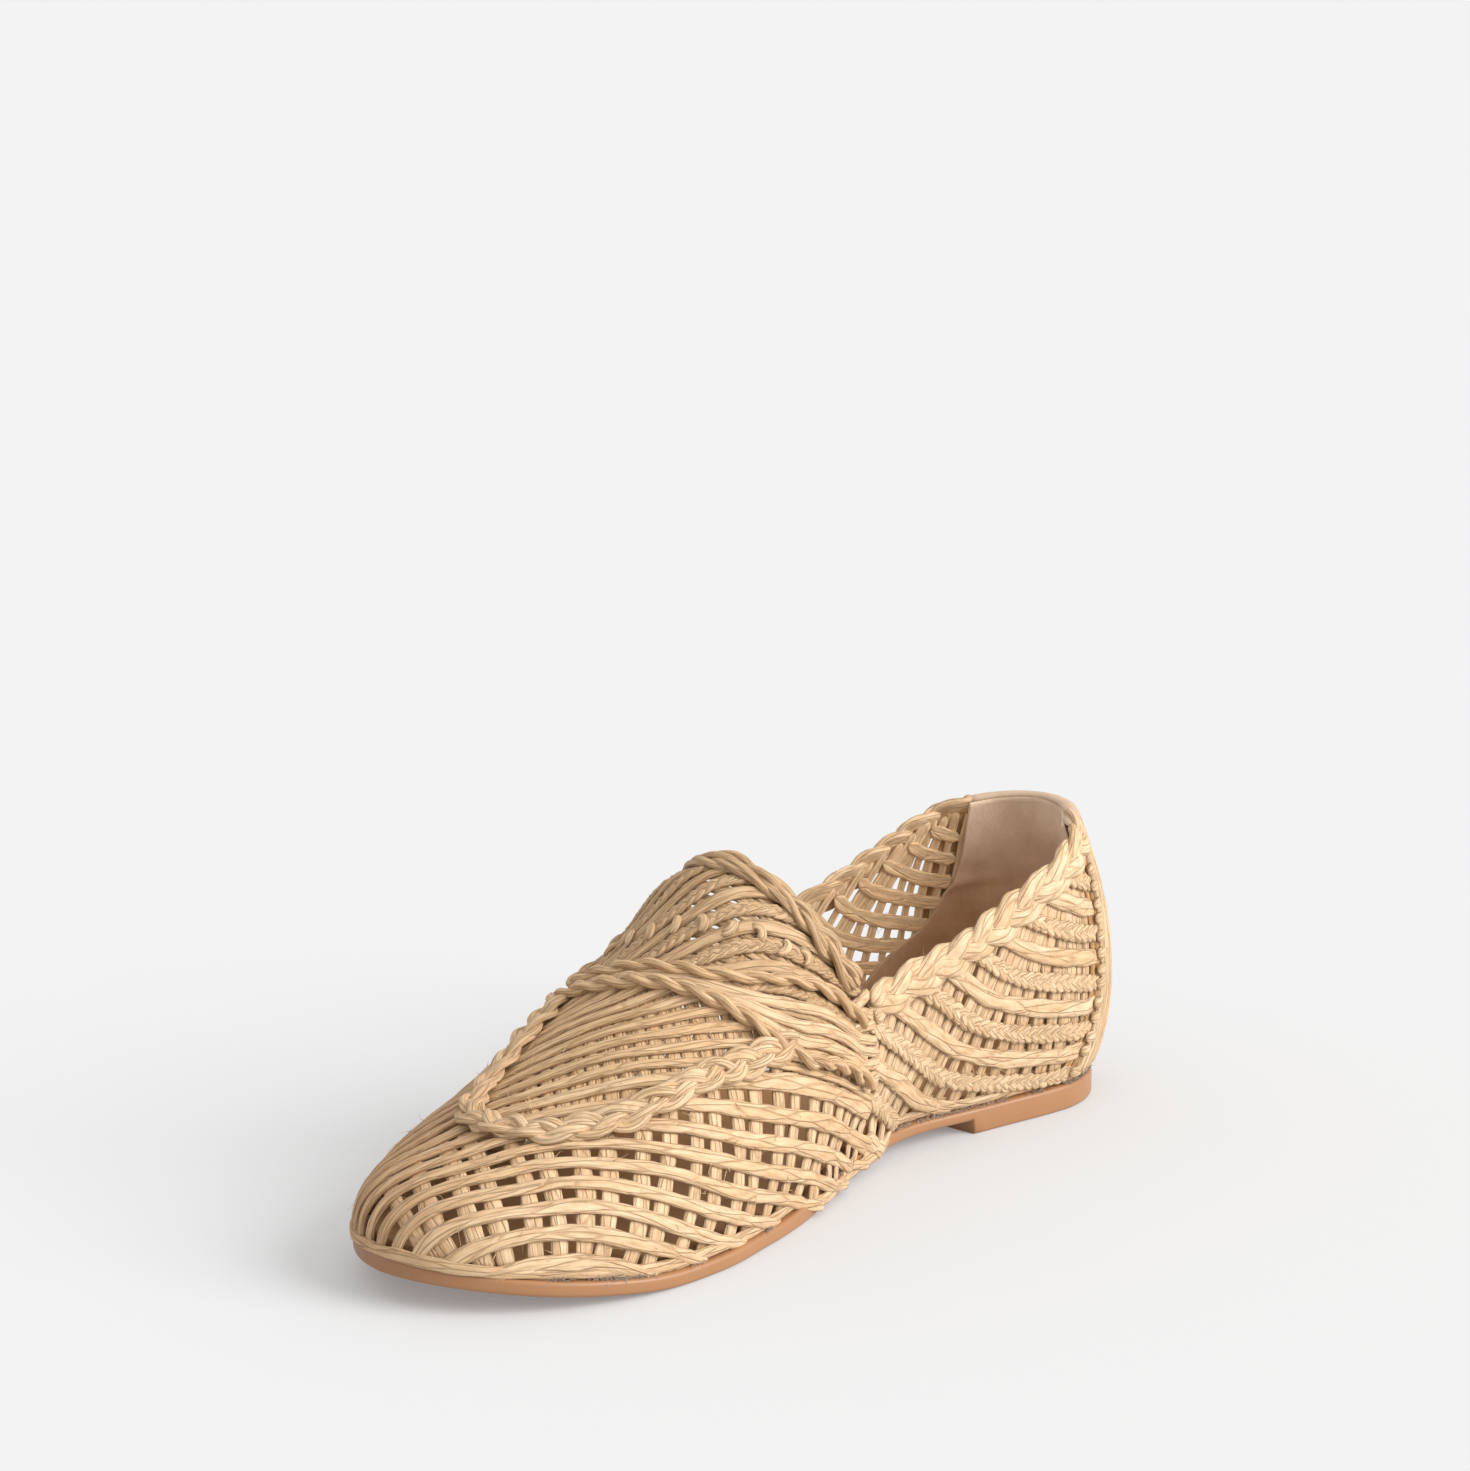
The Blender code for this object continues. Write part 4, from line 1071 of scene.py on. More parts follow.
def instep_point(across, share):
    """Point of the instep: across from the outer seam (-1) to the inner (1), share from throat to saddle."""
    k = JUNCTION_ROW * across
    rear_x, rear_turn = throat_station(k), np.degrees(throat_turn(k))
    front_turn = INSTEP_SPAN * across
    x = rear_x + (saddle_station(front_turn) - rear_x) * share
    return vamp_point(x, np.radians(rear_turn + (front_turn - rear_turn) * share))


def instep_puff(path):
    """How far the instep stands off the last: a bell along the shoe times a bell across it."""
    along = (path[:, 0] - PUFF_MIDDLE[0]) / PUFF_REACH[0]
    across = (path_turn(path) - PUFF_MIDDLE[1]) / PUFF_REACH[1]
    return INSTEP_PUFF * np.exp(-(along**2) - across**2)


def small_braid(kind, path, width, out):
    """A row that is a braid, as wide as the plain rows, standing off the last by a given height."""
    half, strand, height, wave, lift, rise = SMALL_BRAIDS[kind]
    return braid(path, half * width, strand * width, height, wave, ROW_LIFT + lift + out, rise)


def instep_cords():
    """Rows that go on from the plug's behind the saddle as far as the throat, every other one a small
    braid, and cross cords under them."""
    cords = []
    x = np.linspace(SEAM_X, INSTEP_END, ROW_POINTS)
    for j in range(VAMP_ROWS[0], 1):
        turn = row_turn(j, x)
        keep = (x < saddle_station(turn) + UNDER_SADDLE) & (x > throat_edge(turn) + OFF_THROAT)
        keep &= np.abs(turn) < INSTEP_REACH
        if keep.sum() < FEWEST_POINTS:
            continue
        path = even(vamp_point(x[keep], np.radians(turn[keep])), CORD_STEP)
        width = row_half_width(j, path)
        if j % 2:
            cords += small_braid("instep", path, width, instep_puff(path))
        else:
            cords.append(cord(path, width, ROW_HEIGHT, ROW_LIFT + instep_puff(path)))
    across = np.linspace(-INSTEP_RUNG_REACH, INSTEP_RUNG_REACH, 160)
    for share in (np.arange(INSTEP_RUNGS) + FIRST_RUNG) / INSTEP_RUNGS:
        path = even(instep_point(across, np.full_like(across, share)), RUNG_STEP)
        cords.append(cord(path, INSTEP_RUNG_WIDTH, RUNG_HEIGHT, RUNG_LIFT + instep_puff(path), RUNG_TWIST))
    # All cords of the instep get painted shade
    return with_painted_shade(cords)


# Quarter
# Length of the wall from a side seam to the middle of the back; every how many rows one is plain
HALF_ROUND = SEAM_X - HEEL_CENTRE + math.pi / 2 * HEEL_DEPTH
PLAIN_EVERY = 2
# Turns from the middle of the back where rows and cross cords end, in degrees; how far rows start in front of
# the seam, stay over the feather line and stay under the collar
ROWS_TURN = 52
RUNGS_TURN = 30
ROW_START = -1.0
ROW_FOOT = 0.8
ROW_HEADROOM = 4.0
# Cross cords: start of the first in front of the seam, foot over the feather line, room under the collar,
# steps upwards of a millimetre, steepest slope that they cross squarely, fewest points
RUNG_START = -30.0
RUNG_FOOT = 0.5
RUNG_HEADROOM = 2.0
RUNG_STEPS = 75
STEEPEST = 1.2
FEWEST_RUNG_POINTS = 8
# Half width of the rows, pitch of the cross cords and their least and most half width, on the inner and the
# looser outer side
QUARTER_ROW_WIDTH = {1: 2.5, -1: 1.7}
QUARTER_RUNG_PITCH = {1: 6.2, -1: 8.4}
QUARTER_RUNG_WIDTH = {1: (1.5, 2.7), -1: (1.2, 1.8)}
# Rows on the quarter's inside: half width, half height, lift
INNER_ROW_WIDTH = 2.1
INNER_ROW_HEIGHT = 0.5
INNER_ROW_LIFT = -2.4


def from_back(turn):
    """Length of the wall from a side seam to a turn from the middle of the back, in degrees."""
    return HALF_ROUND - HEEL_DEPTH * math.radians(turn)


def quarter_height(level, x):
    """Height of a quarter row: its level at the heel plus its rise at the station."""
    return level + smooth(QUARTER_RISE, 1, x + level - QUARTER_LEVEL)


def quarter_rows():
    """Rows of the quarter: a plain cord or a small braid outside the cross cords and a cord inside."""
    rows, inner_rows = [], []
    for side in (1, -1):
        for i, level in enumerate(np.arange(*QUARTER_ROWS, QUARTER_PITCH)):
            length = np.linspace(ROW_START, from_back(ROWS_TURN), WALL_POINTS)
            station = wall_station(length)
            z = quarter_height(level, station)
            low = feather(station) + ROW_FOOT - hang_drop(station, side)
            keep = (z > low) & (z < collar_height(station) - ROW_HEADROOM)
            if keep.sum() < FEWEST_POINTS:
                continue
            path = even(wall_point(length[keep], z[keep], side), CORD_STEP)
            width = QUARTER_ROW_WIDTH[side]
            if i % PLAIN_EVERY == 0:
                rows.append(cord(path, width, ROW_HEIGHT, ROW_LIFT + bulge_out(path)))
            else:
                rows += small_braid("quarter", path, width, bulge_out(path))
            inner_rows.append(cord(path[::2], INNER_ROW_WIDTH, INNER_ROW_HEIGHT, INNER_ROW_LIFT))
    return rows, inner_rows


def quarter_rungs():
    """Cross cords of the quarter, of each side: from the feather line up to the collar, square to the
    rows."""
    rungs = {1: [], -1: []}
    for side in (1, -1):
        length = np.arange(RUNG_START, from_back(RUNGS_TURN), QUARTER_RUNG_PITCH[side])
        station = wall_station(length)
        z = feather(station) + RUNG_FOOT - hang_drop(station, side)
        ways = [(length, z)]
        for _ in range(RUNG_STEPS):
            x = wall_station(length)
            level = z - smooth(QUARTER_RISE, 1, x)
            slope = np.clip(quarter_height(level, x + 0.5) - quarter_height(level, x - 0.5), 0.0, STEEPEST)
            length = length + slope / np.sqrt(1 + slope**2)
            z = z + 1.0 / np.sqrt(1 + slope**2)
            ways.append((length, z))
        for length, z in np.array(ways).transpose(2, 1, 0):
            keep = (z < collar_height(wall_station(length)) - RUNG_HEADROOM) & (length > 0.0)
            if keep.sum() < FEWEST_RUNG_POINTS:
                continue
            path = even(wall_point(length[keep], z[keep], side), RUNG_STEP)
            width = CHANCE.uniform(*QUARTER_RUNG_WIDTH[side])
            rungs[side].append(cord(path, width, RUNG_HEIGHT, RUNG_LIFT + bulge_out(path), RUNG_TWIST))
    return rungs


# Braids and ropes
# Step along their paths
BRAID_STEP = 0.8
ROPE_STEP = 0.7
# How far in front of the throat's edge its braid lies
THROAT_SET = 3.0
# Collar's braid: start behind the seam, turn from the middle of the back where it ends, depth of its middle
# under the collar; length over which its rear end climbs onto the edge, how far it climbs and goes inwards
COLLAR_START = 1.0
COLLAR_TURN = 41
COLLAR_SET = 4.6
COLLAR_CLIMB = 16.0
CLIMB_RISE = 2.6
CLIMB_INWARDS = 1.9


def overlay_path(table):
    """Path on the vamp through a table of stations and turns."""
    marks = np.arange(len(table), dtype=float)
    rows = [(mark, *row) for mark, row in zip(marks, table)]
    at = np.linspace(0.0, marks[-1], 40 * len(table))
    return vamp_point(smooth(rows, 1, at), np.radians(smooth(rows, 2, at)))


def plug_braid():
    """Raised braid round the plug."""
    path = even(overlay_path(PLUG), BRAID_STEP)
    return braid(path, half_width=2.1, strand_width=2.0, strand_height=1.15, wave=26.0, lift=1.3, rise=0.75,
                 bundled=True)


def throat_braid():
    """Braid along the throat's edge, set in front of it."""
    k = np.linspace(-THROAT_END, THROAT_END, 400)
    path = even(vamp_point(throat_station(k), throat_turn(k)), BRAID_STEP)
    aside = unit(np.cross(outward(path), unit(np.gradient(path, axis=0))))
    path = path + np.where(aside[:, :1] > 0, aside, -aside) * THROAT_SET
    # The throat's braid gets painted shade
    return with_painted_shade(braid(path, half_width=1.8, strand_width=1.9, strand_height=1.1, wave=34.0,
                        lift=1.0 + instep_puff(path), rise=0.7, bundled=True))


def collar_braids(side):
    """Braid under the collar's edge on one side; its rear end climbs onto the edge."""
    length = np.linspace(COLLAR_START, from_back(COLLAR_TURN), WALL_POINTS)
    close = np.clip((length - length[-1]) / COLLAR_CLIMB + 1.0, 0.0, 1.0)
    path = wall_point(length, collar_height(wall_station(length)) - COLLAR_SET + CLIMB_RISE * close, side)
    path = even(path - outward(path) * (CLIMB_INWARDS * close)[:, None], BRAID_STEP)
    return braid(path, half_width=2.6, strand_width=2.7, strand_height=1.3, wave=32.0, lift=0.5, rise=0.7)


def saddle_ropes():
    """A rope along each edge of the saddle and cords between them."""
    rear, front = (even(overlay_path(saddle_line(share)), ROPE_STEP) for share in SADDLE_ROPES)
    ropes = rope(rear, radius=0.8, strand=1.05, pitch=17.0, lift=1.3)
    ropes += rope(front, radius=0.9, strand=1.1, pitch=15.0, lift=1.5)
    lattice = []
    for share in SADDLE_LATTICE:
        path = even(overlay_path(saddle_line(share)), CORD_STEP)
        lattice.append(cord(path, half_width=1.6, half_height=0.8, lift=0.4))
    # The saddle's ropes get painted shade
    return with_painted_shade(ropes) + lattice


# Knots: size, width across as a share of it, rise over the weave and depth of their ends, points from one to
# the next along their line and from its ends to the first and last, how much they lean
KNOT_SIZE = 2.1
KNOT_WIDTH = 0.75
KNOT_RISE = 1.1
KNOT_DEPTH = 0.3
KNOT_PITCH = 7.0
KNOT_MARGIN = 3
KNOT_LEAN = 0.5
# Wraps down a side seam: first height, upper limit and pitch; ends behind and in front of their middle, which
# lies in front of the seam; most slope, rise of the arch and its half turn in radians, points
WRAP_HEIGHTS = (27.0, 47.0, 3.1)
WRAP_ENDS = (4.5, -5.0)
WRAP_MIDDLE = SEAM_X + 3.0
WRAP_SLOPE = 0.35
WRAP_RISE = 0.9
WRAP_TURN = 1.4
WRAP_POINTS = 16


def knot(centre, ahead, out):
    """A tight turn of cord: half a flattened circle that rises over the weave as a sine."""
    aside = np.cross(out, ahead)
    turn = np.linspace(0.0, math.pi, 14)
    path = centre + np.outer(np.cos(turn), ahead) * KNOT_SIZE
    path = path + np.outer(np.sin(turn), aside) * KNOT_SIZE * KNOT_WIDTH
    path = path + np.outer(KNOT_RISE * np.sin(turn) - KNOT_DEPTH, out)
    return cord(path, half_width=1.2, half_height=0.65, twist=14.0, loose=0.5,
                out=np.broadcast_to(out, path.shape))


def knots():
    """Loops that hook the vamp's rows behind the saddle, and the wraps down each side seam."""
    made = []
    line = even(overlay_path(KNOT_LINE), 1.0)
    for at in np.arange(KNOT_MARGIN, len(line) - KNOT_MARGIN, KNOT_PITCH).astype(int):
        out = outward(line[at:at + 1])[0]
        ahead = unit(np.cross(out, unit(line[at + 1] - line[at - 1])))
        ahead = unit(ahead + KNOT_LEAN * CHANCE.normal(size=3))
        made.append(knot(line[at], unit(ahead - out * (ahead @ out)), out))
    for side in (1, -1):
        for z in np.arange(*WRAP_HEIGHTS):
            slope = CHANCE.uniform(-WRAP_SLOPE, WRAP_SLOPE)
            length = np.linspace(*WRAP_ENDS, WRAP_POINTS)
            x, height = WRAP_MIDDLE - length, z + slope * length
            width = np.sqrt(np.maximum(square_width(x, height, side), 0.0))
            path = np.stack([x, last_value("centre", x) + side * width, height], -1)
            arch = WRAP_RISE * np.cos(np.linspace(-WRAP_TURN, WRAP_TURN, WRAP_POINTS))
            made.append(cord(path, half_width=1.5, half_height=0.8, lift=arch, twist=14.0))
    return made


# Heel
# Counter's strands: number, share of the counter that they span, step along a strand, half width as a share
# of their pitch, share across at which the pitch is read
COUNTER_STRANDS = 31
STRAND_SPAN = 0.985
STRAND_STEP = 1.4
STRAND_WIDTH = 0.54
STRAND_SHIFT = 0.02
# Stitches: first and last height as shares, number on a side, how far they go in and out past the counter's
# edge, half turn of their arch in radians, its rise and the height of its ends, how uneven their heights are,
# points
STITCH_HEIGHTS = (0.03, 0.95, 15)
STITCH_REACH = (-0.035, 0.075)
STITCH_TURN = 1.3
STITCH_RISE = 0.9
STITCH_LIFT = 0.3
STITCH_VARIETY = 0.01
STITCH_POINTS = 14
# Cords in the grooves of the seams: place across, lift; top as a share of the counter's height
SEAM_CORDS = ((1.015, -0.3), (1.075, -0.9))
SEAM_TOP = 0.97
# Shares of the counter's height along a strand, which starts level at its foot
COUNTER_SHARES = np.clip(np.linspace(-0.02, 1.0, 120), 0.0, 1.0)


def counter_point(across, share):
    """Point of the counter: a share of its half turn round the heel, a share of its height."""
    turn = np.radians(smooth(COUNTER, 1, share)) * across
    length = HALF_ROUND - HEEL_DEPTH * np.abs(turn)
    station = wall_station(length)
    low = feather(station) + COUNTER_FOOT
    return wall_point(length, low + share * (collar_height(station) - low), np.where(across < 0, -1, 1))


def counter_strands():
    """Strands side by side over the counter, each as wide as its share of the counter's width there."""
    along = np.linspace(0.0, 1.0, len(COUNTER_SHARES))
    strands = []
    for across in np.linspace(-STRAND_SPAN, STRAND_SPAN, COUNTER_STRANDS):
        path = counter_point(np.full_like(COUNTER_SHARES, across), COUNTER_SHARES)
        spread = counter_point(np.full_like(COUNTER_SHARES, across + STRAND_SHIFT), COUNTER_SHARES) - path
        path = even(path, STRAND_STEP)
        pitch = np.interp(np.linspace(0, 1, len(path)), along, np.linalg.norm(spread, axis=1))
        pitch = pitch / STRAND_SHIFT * 2 * STRAND_SPAN / (COUNTER_STRANDS - 1)
        strands.append(cord(path, STRAND_WIDTH * pitch, half_height=0.7, lift=0.4, twist=60.0, loose=0.5))
    return strands


def counter_stitches():
    """Short turns of cord that whip the counter's edges to the quarter."""
    stitches = []
    for side in (1, -1):
        for share in np.linspace(*STITCH_HEIGHTS):
            across = side * (1.0 + np.linspace(*STITCH_REACH, STITCH_POINTS))
            arch = np.cos(np.linspace(-STITCH_TURN, STITCH_TURN, STITCH_POINTS))
            height = share + CHANCE.uniform(-STITCH_VARIETY, STITCH_VARIETY)
            path = counter_point(across, np.full(STITCH_POINTS, height))
            lift = STITCH_LIFT + STITCH_RISE * arch
            stitches.append(cord(path, half_width=1.6, half_height=0.6, lift=lift, twist=12.0, loose=0.4))
    return stitches


def counter_seams():
    """Cords of the seams, in the grooves along the counter's edges."""
    seams = []
    up = np.linspace(0.0, SEAM_TOP, 80)
    for side in (1, -1):
        for across, lift in SEAM_CORDS:
            path = even(counter_point(np.full_like(up, side * across), up), CORD_STEP)
            seams.append(cord(path, half_width=1.7, half_height=RUNG_HEIGHT, lift=lift))
    return seams


# Front edge of the heel's lining: height, length round the wall from the middle of the back
LINING_EDGE = (
    (8, 84.0), (25, 78.0), (32, 70.0), (34.5, 64.0), (39, 52.0), (47, 43.5), (56, 37.0), (64, 35.0),
    (80, 34.0),
)
# Lining: height of its foot, first guess of its height, rise over the collar's edge, depth inside the last,
# thickness; height over which its inner side goes further forward, and how much further
LINING_FOOT = 10.0
LINING_HEIGHT = 62.0
LINING_RISE = 0.3
LINING_DEPTH = 3.1
LINING_THICKNESS = 0.9
WIDER_FROM = 50
WIDER = 1.2
# Soft fold across the lining: height at the back, slope, half width, depth; lengths from the middle of the
# back at which it starts and over which it grows
FOLD_HEIGHT = 56.0
FOLD_SLOPE = 0.10
FOLD_HALF_WIDTH = 1.7
FOLD_DEPTH = 1.1
FOLD_START = 15
FOLD_GROWTH = 20
# Waviness of the lining: depth, radians a millimetre round the wall and up it
LINING_WAVES = ((0.25, 0.19, 0.11), (0.2, -0.07, 0.31))
# Rolled edge: ends round the wall from the middle of the back, depth under the collar's edge, how far inwards
# and up its middle lies, half width, half height, points over which its ends close
BINDING_ENDS = (-35.0, 43.0)
BINDING_SET = 0.6
BINDING_INWARDS = 1.3
BINDING_UP = 0.2
BINDING_WIDTH = 2.2
BINDING_HEIGHT = 1.1
BINDING_CLOSE = 3.0


def heel_lining():
    """Suede sheet inside the heel: a level line at each height, out to its front edge on both sides,
    with a soft fold across it, a bell of the height, and a little waviness, a sum of sines."""
    rows, columns = 60, 140
    share = np.linspace(0.0, 1.0, rows)[:, None]
    across = np.linspace(-1.0, 1.0, columns)[None]
    z = LINING_FOOT + share * LINING_HEIGHT
    for _ in range(3):
        wider = np.where((across > 0) & (z > WIDER_FROM), WIDER, 1.0)
        reach = smooth(LINING_EDGE, 1, z) * across * wider
        length = HALF_ROUND - np.abs(reach)
        z = LINING_FOOT + share * (collar_height(wall_station(length)) + LINING_RISE - LINING_FOOT)
    points = wall_point(length, z, np.where(reach < 0, -1, 1))
    off_fold = (z - FOLD_HEIGHT + FOLD_SLOPE * np.abs(reach)) / FOLD_HALF_WIDTH
    grown = np.clip((np.abs(reach) - FOLD_START) / FOLD_GROWTH, 0, 1)
    depth = LINING_DEPTH + FOLD_DEPTH * np.exp(-(off_fold**2)) * grown
    for wave, turn_round, turn_up in LINING_WAVES:
        depth = depth + wave * np.sin(reach * turn_round + z * turn_up)
    points = points - outward(points) * depth[..., None]
    lining = new_piece("heel_lining", points.reshape(-1, 3), sheet_faces(rows, columns), suede)
    wall = lining.modifiers.new("thickness", "SOLIDIFY")
    wall.thickness = LINING_THICKNESS * MM
    wall.offset = 0.0
    return lining


def heel_binding():
    """Rolled suede edge over the top of the heel, from one front edge of the lining to the other: a
    flattened ring of points carried along the edge, smaller at the ends."""
    reach = np.linspace(*BINDING_ENDS, 160)
    length = HALF_ROUND - np.abs(reach)
    z = collar_height(wall_station(length)) - BINDING_SET
    path = even(wall_point(length, z, np.where(reach < 0, -1, 1)), 1.0)
    level = unit(outward(path) * np.array([1.0, 1.0, 0.0]))
    up = np.cross(unit(np.gradient(path, axis=0)), level)
    up = np.where(up[:, 2:] < 0, -up, up)
    turn = np.linspace(0, 2 * math.pi, 20, endpoint=False)
    count = np.arange(len(path))
    close = np.sqrt(np.clip(np.minimum(count, count[::-1]) / BINDING_CLOSE, END_LEFT, 1.0))[:, None]
    centre = path - level * BINDING_INWARDS + np.array([0.0, 0.0, BINDING_UP])
    points = centre[:, None] + level[:, None] * (BINDING_WIDTH * close * np.cos(turn))[..., None]
    points = points + up[:, None] * (BINDING_HEIGHT * close * np.sin(turn))[..., None]
    faces = tube_faces(len(path), len(turn))
    return new_piece("heel_binding", points.reshape(-1, 3), faces, rim)


# Sole and insole
# Stations between the heel's curve and the toe's, radius of the sole's edges and its most as a share of the
# half width, share of the half width where the flat of a section ends
SOLE_FLAT = (38, 195)
SOLE_EDGE = 1.0
SOLE_EDGE_SHARE = 0.45
SOLE_FLAT_SHARE = 0.4
# The same for the sock, and how far its edge is cut down at the corner
SOCK_EDGE = 0.8
SOCK_EDGE_SHARE = 0.4
SOCK_FLAT_SHARE = 0.5
SOCK_CORNER = 0.3


def plan_width(x, side, margin, heel_end, tip):
    """Half width of the plan with a margin: the feather width times what nose and heel leave."""
    left = nose_left(x, tip, NOSE_PLAN_POWER) * heel_left(x, heel_end)
    return (side_width(x, side) + margin) * np.sqrt(np.maximum(left, 0.0))


def lofted(name, x, halves, material):
    """Piece lofted through a section at each station: for each side the offsets from the centre line and
    the heights of half a section, from the top's middle round the edge to the underside's middle."""
    centre = last_value("centre", x)
    section = [(centre + y, z) for y, z in halves[0]]
    section += [(centre - y, z) for y, z in reversed(halves[1])]
    rings = np.stack([np.stack([x, y, z], -1) for y, z in section], 1)
    faces = [face[::-1] for face in tube_faces(len(x), len(section))]
    return new_piece(name, rings.reshape(-1, 3), faces, material)


def make_sole():
    """Moulded sole: a section with rounded edges at each station, lofted from the heel's back to the toe."""
    first, last = SOLE_FLAT
    round_heel = 1 - np.cos(np.linspace(0.01, math.pi / 2, 30))
    round_toe = np.sin(np.linspace(0, math.pi / 2 - 0.005, 50))[1:]
    x = np.concatenate([
        SOLE_HEEL_END + (HEEL_CENTRE - SOLE_HEEL_END) * round_heel,
        np.linspace(first, HEEL_BREAST - 0.5, 8),
        np.linspace(HEEL_BREAST, last, 50),
        last + (SOLE_LENGTH - last) * round_toe,
    ])
    top = feather(x) - PIECE_GAP
    bottom = np.where(x < HEEL_BREAST, 0.0, smooth(UNDERSIDE, 1, x))
    bend = np.linspace(0.0, math.pi / 2, 5)
    halves = []
    for side in (1, -1):
        width = plan_width(x, side, SOLE_MARGIN, SOLE_HEEL_END, SOLE_LENGTH)
        edge = np.minimum(SOLE_EDGE, SOLE_EDGE_SHARE * width)
        half = [(SOLE_FLAT_SHARE * width, top)]
        half += [(width - edge * (1 - math.sin(b)), top - edge * (1 - math.cos(b))) for b in bend]
        half += [(width - edge * (1 - math.cos(b)), bottom + edge * (1 - math.sin(b))) for b in bend]
        halves.append(half + [(SOLE_FLAT_SHARE * width, bottom)])
    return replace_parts(lofted("moulded_sole", x, halves, rubber), "unit_sole")


def make_sock():
    """Insole sock: the feather line's outline drawn in along its normals, with a rounded edge."""
    outlines = []
    for side in (1, -1):
        x = UPPER_BACK + (UPPER_TIP - UPPER_BACK) * (1 - np.cos(np.linspace(0.0, math.pi, 400))) / 2
        y = plan_width(x, side, 0.0, UPPER_BACK, UPPER_TIP)
        dx, dy = np.gradient(x), np.gradient(y)
        length = np.hypot(dx, dy)
        outlines.append((x + dy / length * INSOLE_INSET, y - dx / length * INSOLE_INSET))
    start = max(x[y > 0].min() for x, y in outlines)
    end = min(x[y > 0].max() for x, y in outlines)
    x = start + (end - start) * (1 - np.cos(np.linspace(0.03, math.pi - 0.03, 120))) / 2
    floor = feather(x)
    top = floor + INSOLE_THICKNESS
    halves = []
    for along, wide in outlines:
        width = np.interp(x, along, wide)
        edge = np.minimum(SOCK_EDGE, SOCK_EDGE_SHARE * width)
        corner = SOCK_CORNER * edge
        halves.append([
            (SOCK_FLAT_SHARE * width, top), (width - edge, top), (width - corner, top - corner),
            (width, top - edge), (width, floor), (SOCK_FLAT_SHARE * width, floor),
        ])
    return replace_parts(lofted("insole_sock", x, halves, sock), "insole")


# Loose fibres and lint
# A hair: rings, sides, share of its radius that is lost towards the tip
HAIR_RINGS = 4
HAIR_SIDES = 3
HAIR_TAPER = 0.85
# Fibres that have come loose, on the vamp and on the quarter: number on each, stations, share of the vamp's
# turn, lengths back from the seam, height over the feather line, lengths, radius, how far they stand up, how
# much they bend at random and inwards
STRAYS = 260
STRAY_STATIONS = (130.0, 246.0)
STRAY_TURN = 0.95
STRAY_WALL = (2.0, 92.0)
STRAY_FOOT = 2.0
STRAY_LENGTHS = (1.5, 4.5)
STRAY_RADIUS = 0.10
STRAY_STAND = 0.35
STRAY_BEND = 0.35
STRAY_INWARDS = 0.15
# Lint on each side: clumps and hairs in a clump, spread of a clump in steps along the joint, lengths, radius
LINT_CLUMPS = 60
CLUMP_HAIRS = 34
CLUMP_SPREAD = (1.0, 6.0)
LINT_LENGTHS = (0.4, 1.3)
LINT_RADIUS = 0.09
# Joint that holds the lint: first and last station, margin round the plan, depth under the feather line, step
# along it, steps left free at its ends for clumps and for hairs
JOINT_ENDS = (4.0, UPPER_TIP - 0.2)
JOINT_MARGIN = 0.3
JOINT_DEPTH = 0.1
JOINT_STEP = 0.5
CLUMP_MARGIN = 8
HAIR_MARGIN = 2
# How uneven the lint is: its roots, its directions, its bend; how far it looks up on the inner side and down
# on the outer
LINT_SCATTER = 0.15
LINT_SPRAY = 0.8
LINT_BEND = 0.5
LINT_UP = 0.2


def hairs(roots, directions, length, radius, bend):
    """Short hairs: closed three-sided spikes of a few rings that bend towards a second direction as the
    square of the way along them."""
    count = len(roots)
    steps = np.linspace(0.0, 1.0, HAIR_RINGS)
    across = unit(np.cross(directions, CHANCE.normal(size=(count, 3))))
    other = np.cross(directions, across)
    line = roots[:, None] + directions[:, None] * (length[:, None] * steps)[..., None]
    line = line + bend[:, None] * (length[:, None] * steps**2)[..., None]
    turn = np.arange(HAIR_SIDES) * 2 * math.pi / HAIR_SIDES
    ring = across[:, None] * np.cos(turn)[None, :, None] + other[:, None] * np.sin(turn)[None, :, None]
    thick = radius * (1.0 - HAIR_TAPER * steps)
    points = line[:, :, None] + ring[:, None] * thick[None, :, None, None]
    first = np.arange(count)[:, None, None] * HAIR_RINGS * HAIR_SIDES
    step, side = np.meshgrid(np.arange(HAIR_RINGS - 1), np.arange(HAIR_SIDES), indexing="ij")
    a, b = step * HAIR_SIDES + side, step * HAIR_SIDES + (side + 1) % HAIR_SIDES
    quads = first[..., None] + np.stack([a, b, b + HAIR_SIDES, a + HAIR_SIDES], -1)[None]
    foot = np.arange(HAIR_SIDES)
    caps = first + np.stack([foot[::-1], foot + (HAIR_RINGS - 1) * HAIR_SIDES])[None]
    return points.reshape(-1, 3), quads.reshape(-1, 4).tolist() + caps.reshape(-1, HAIR_SIDES).tolist()


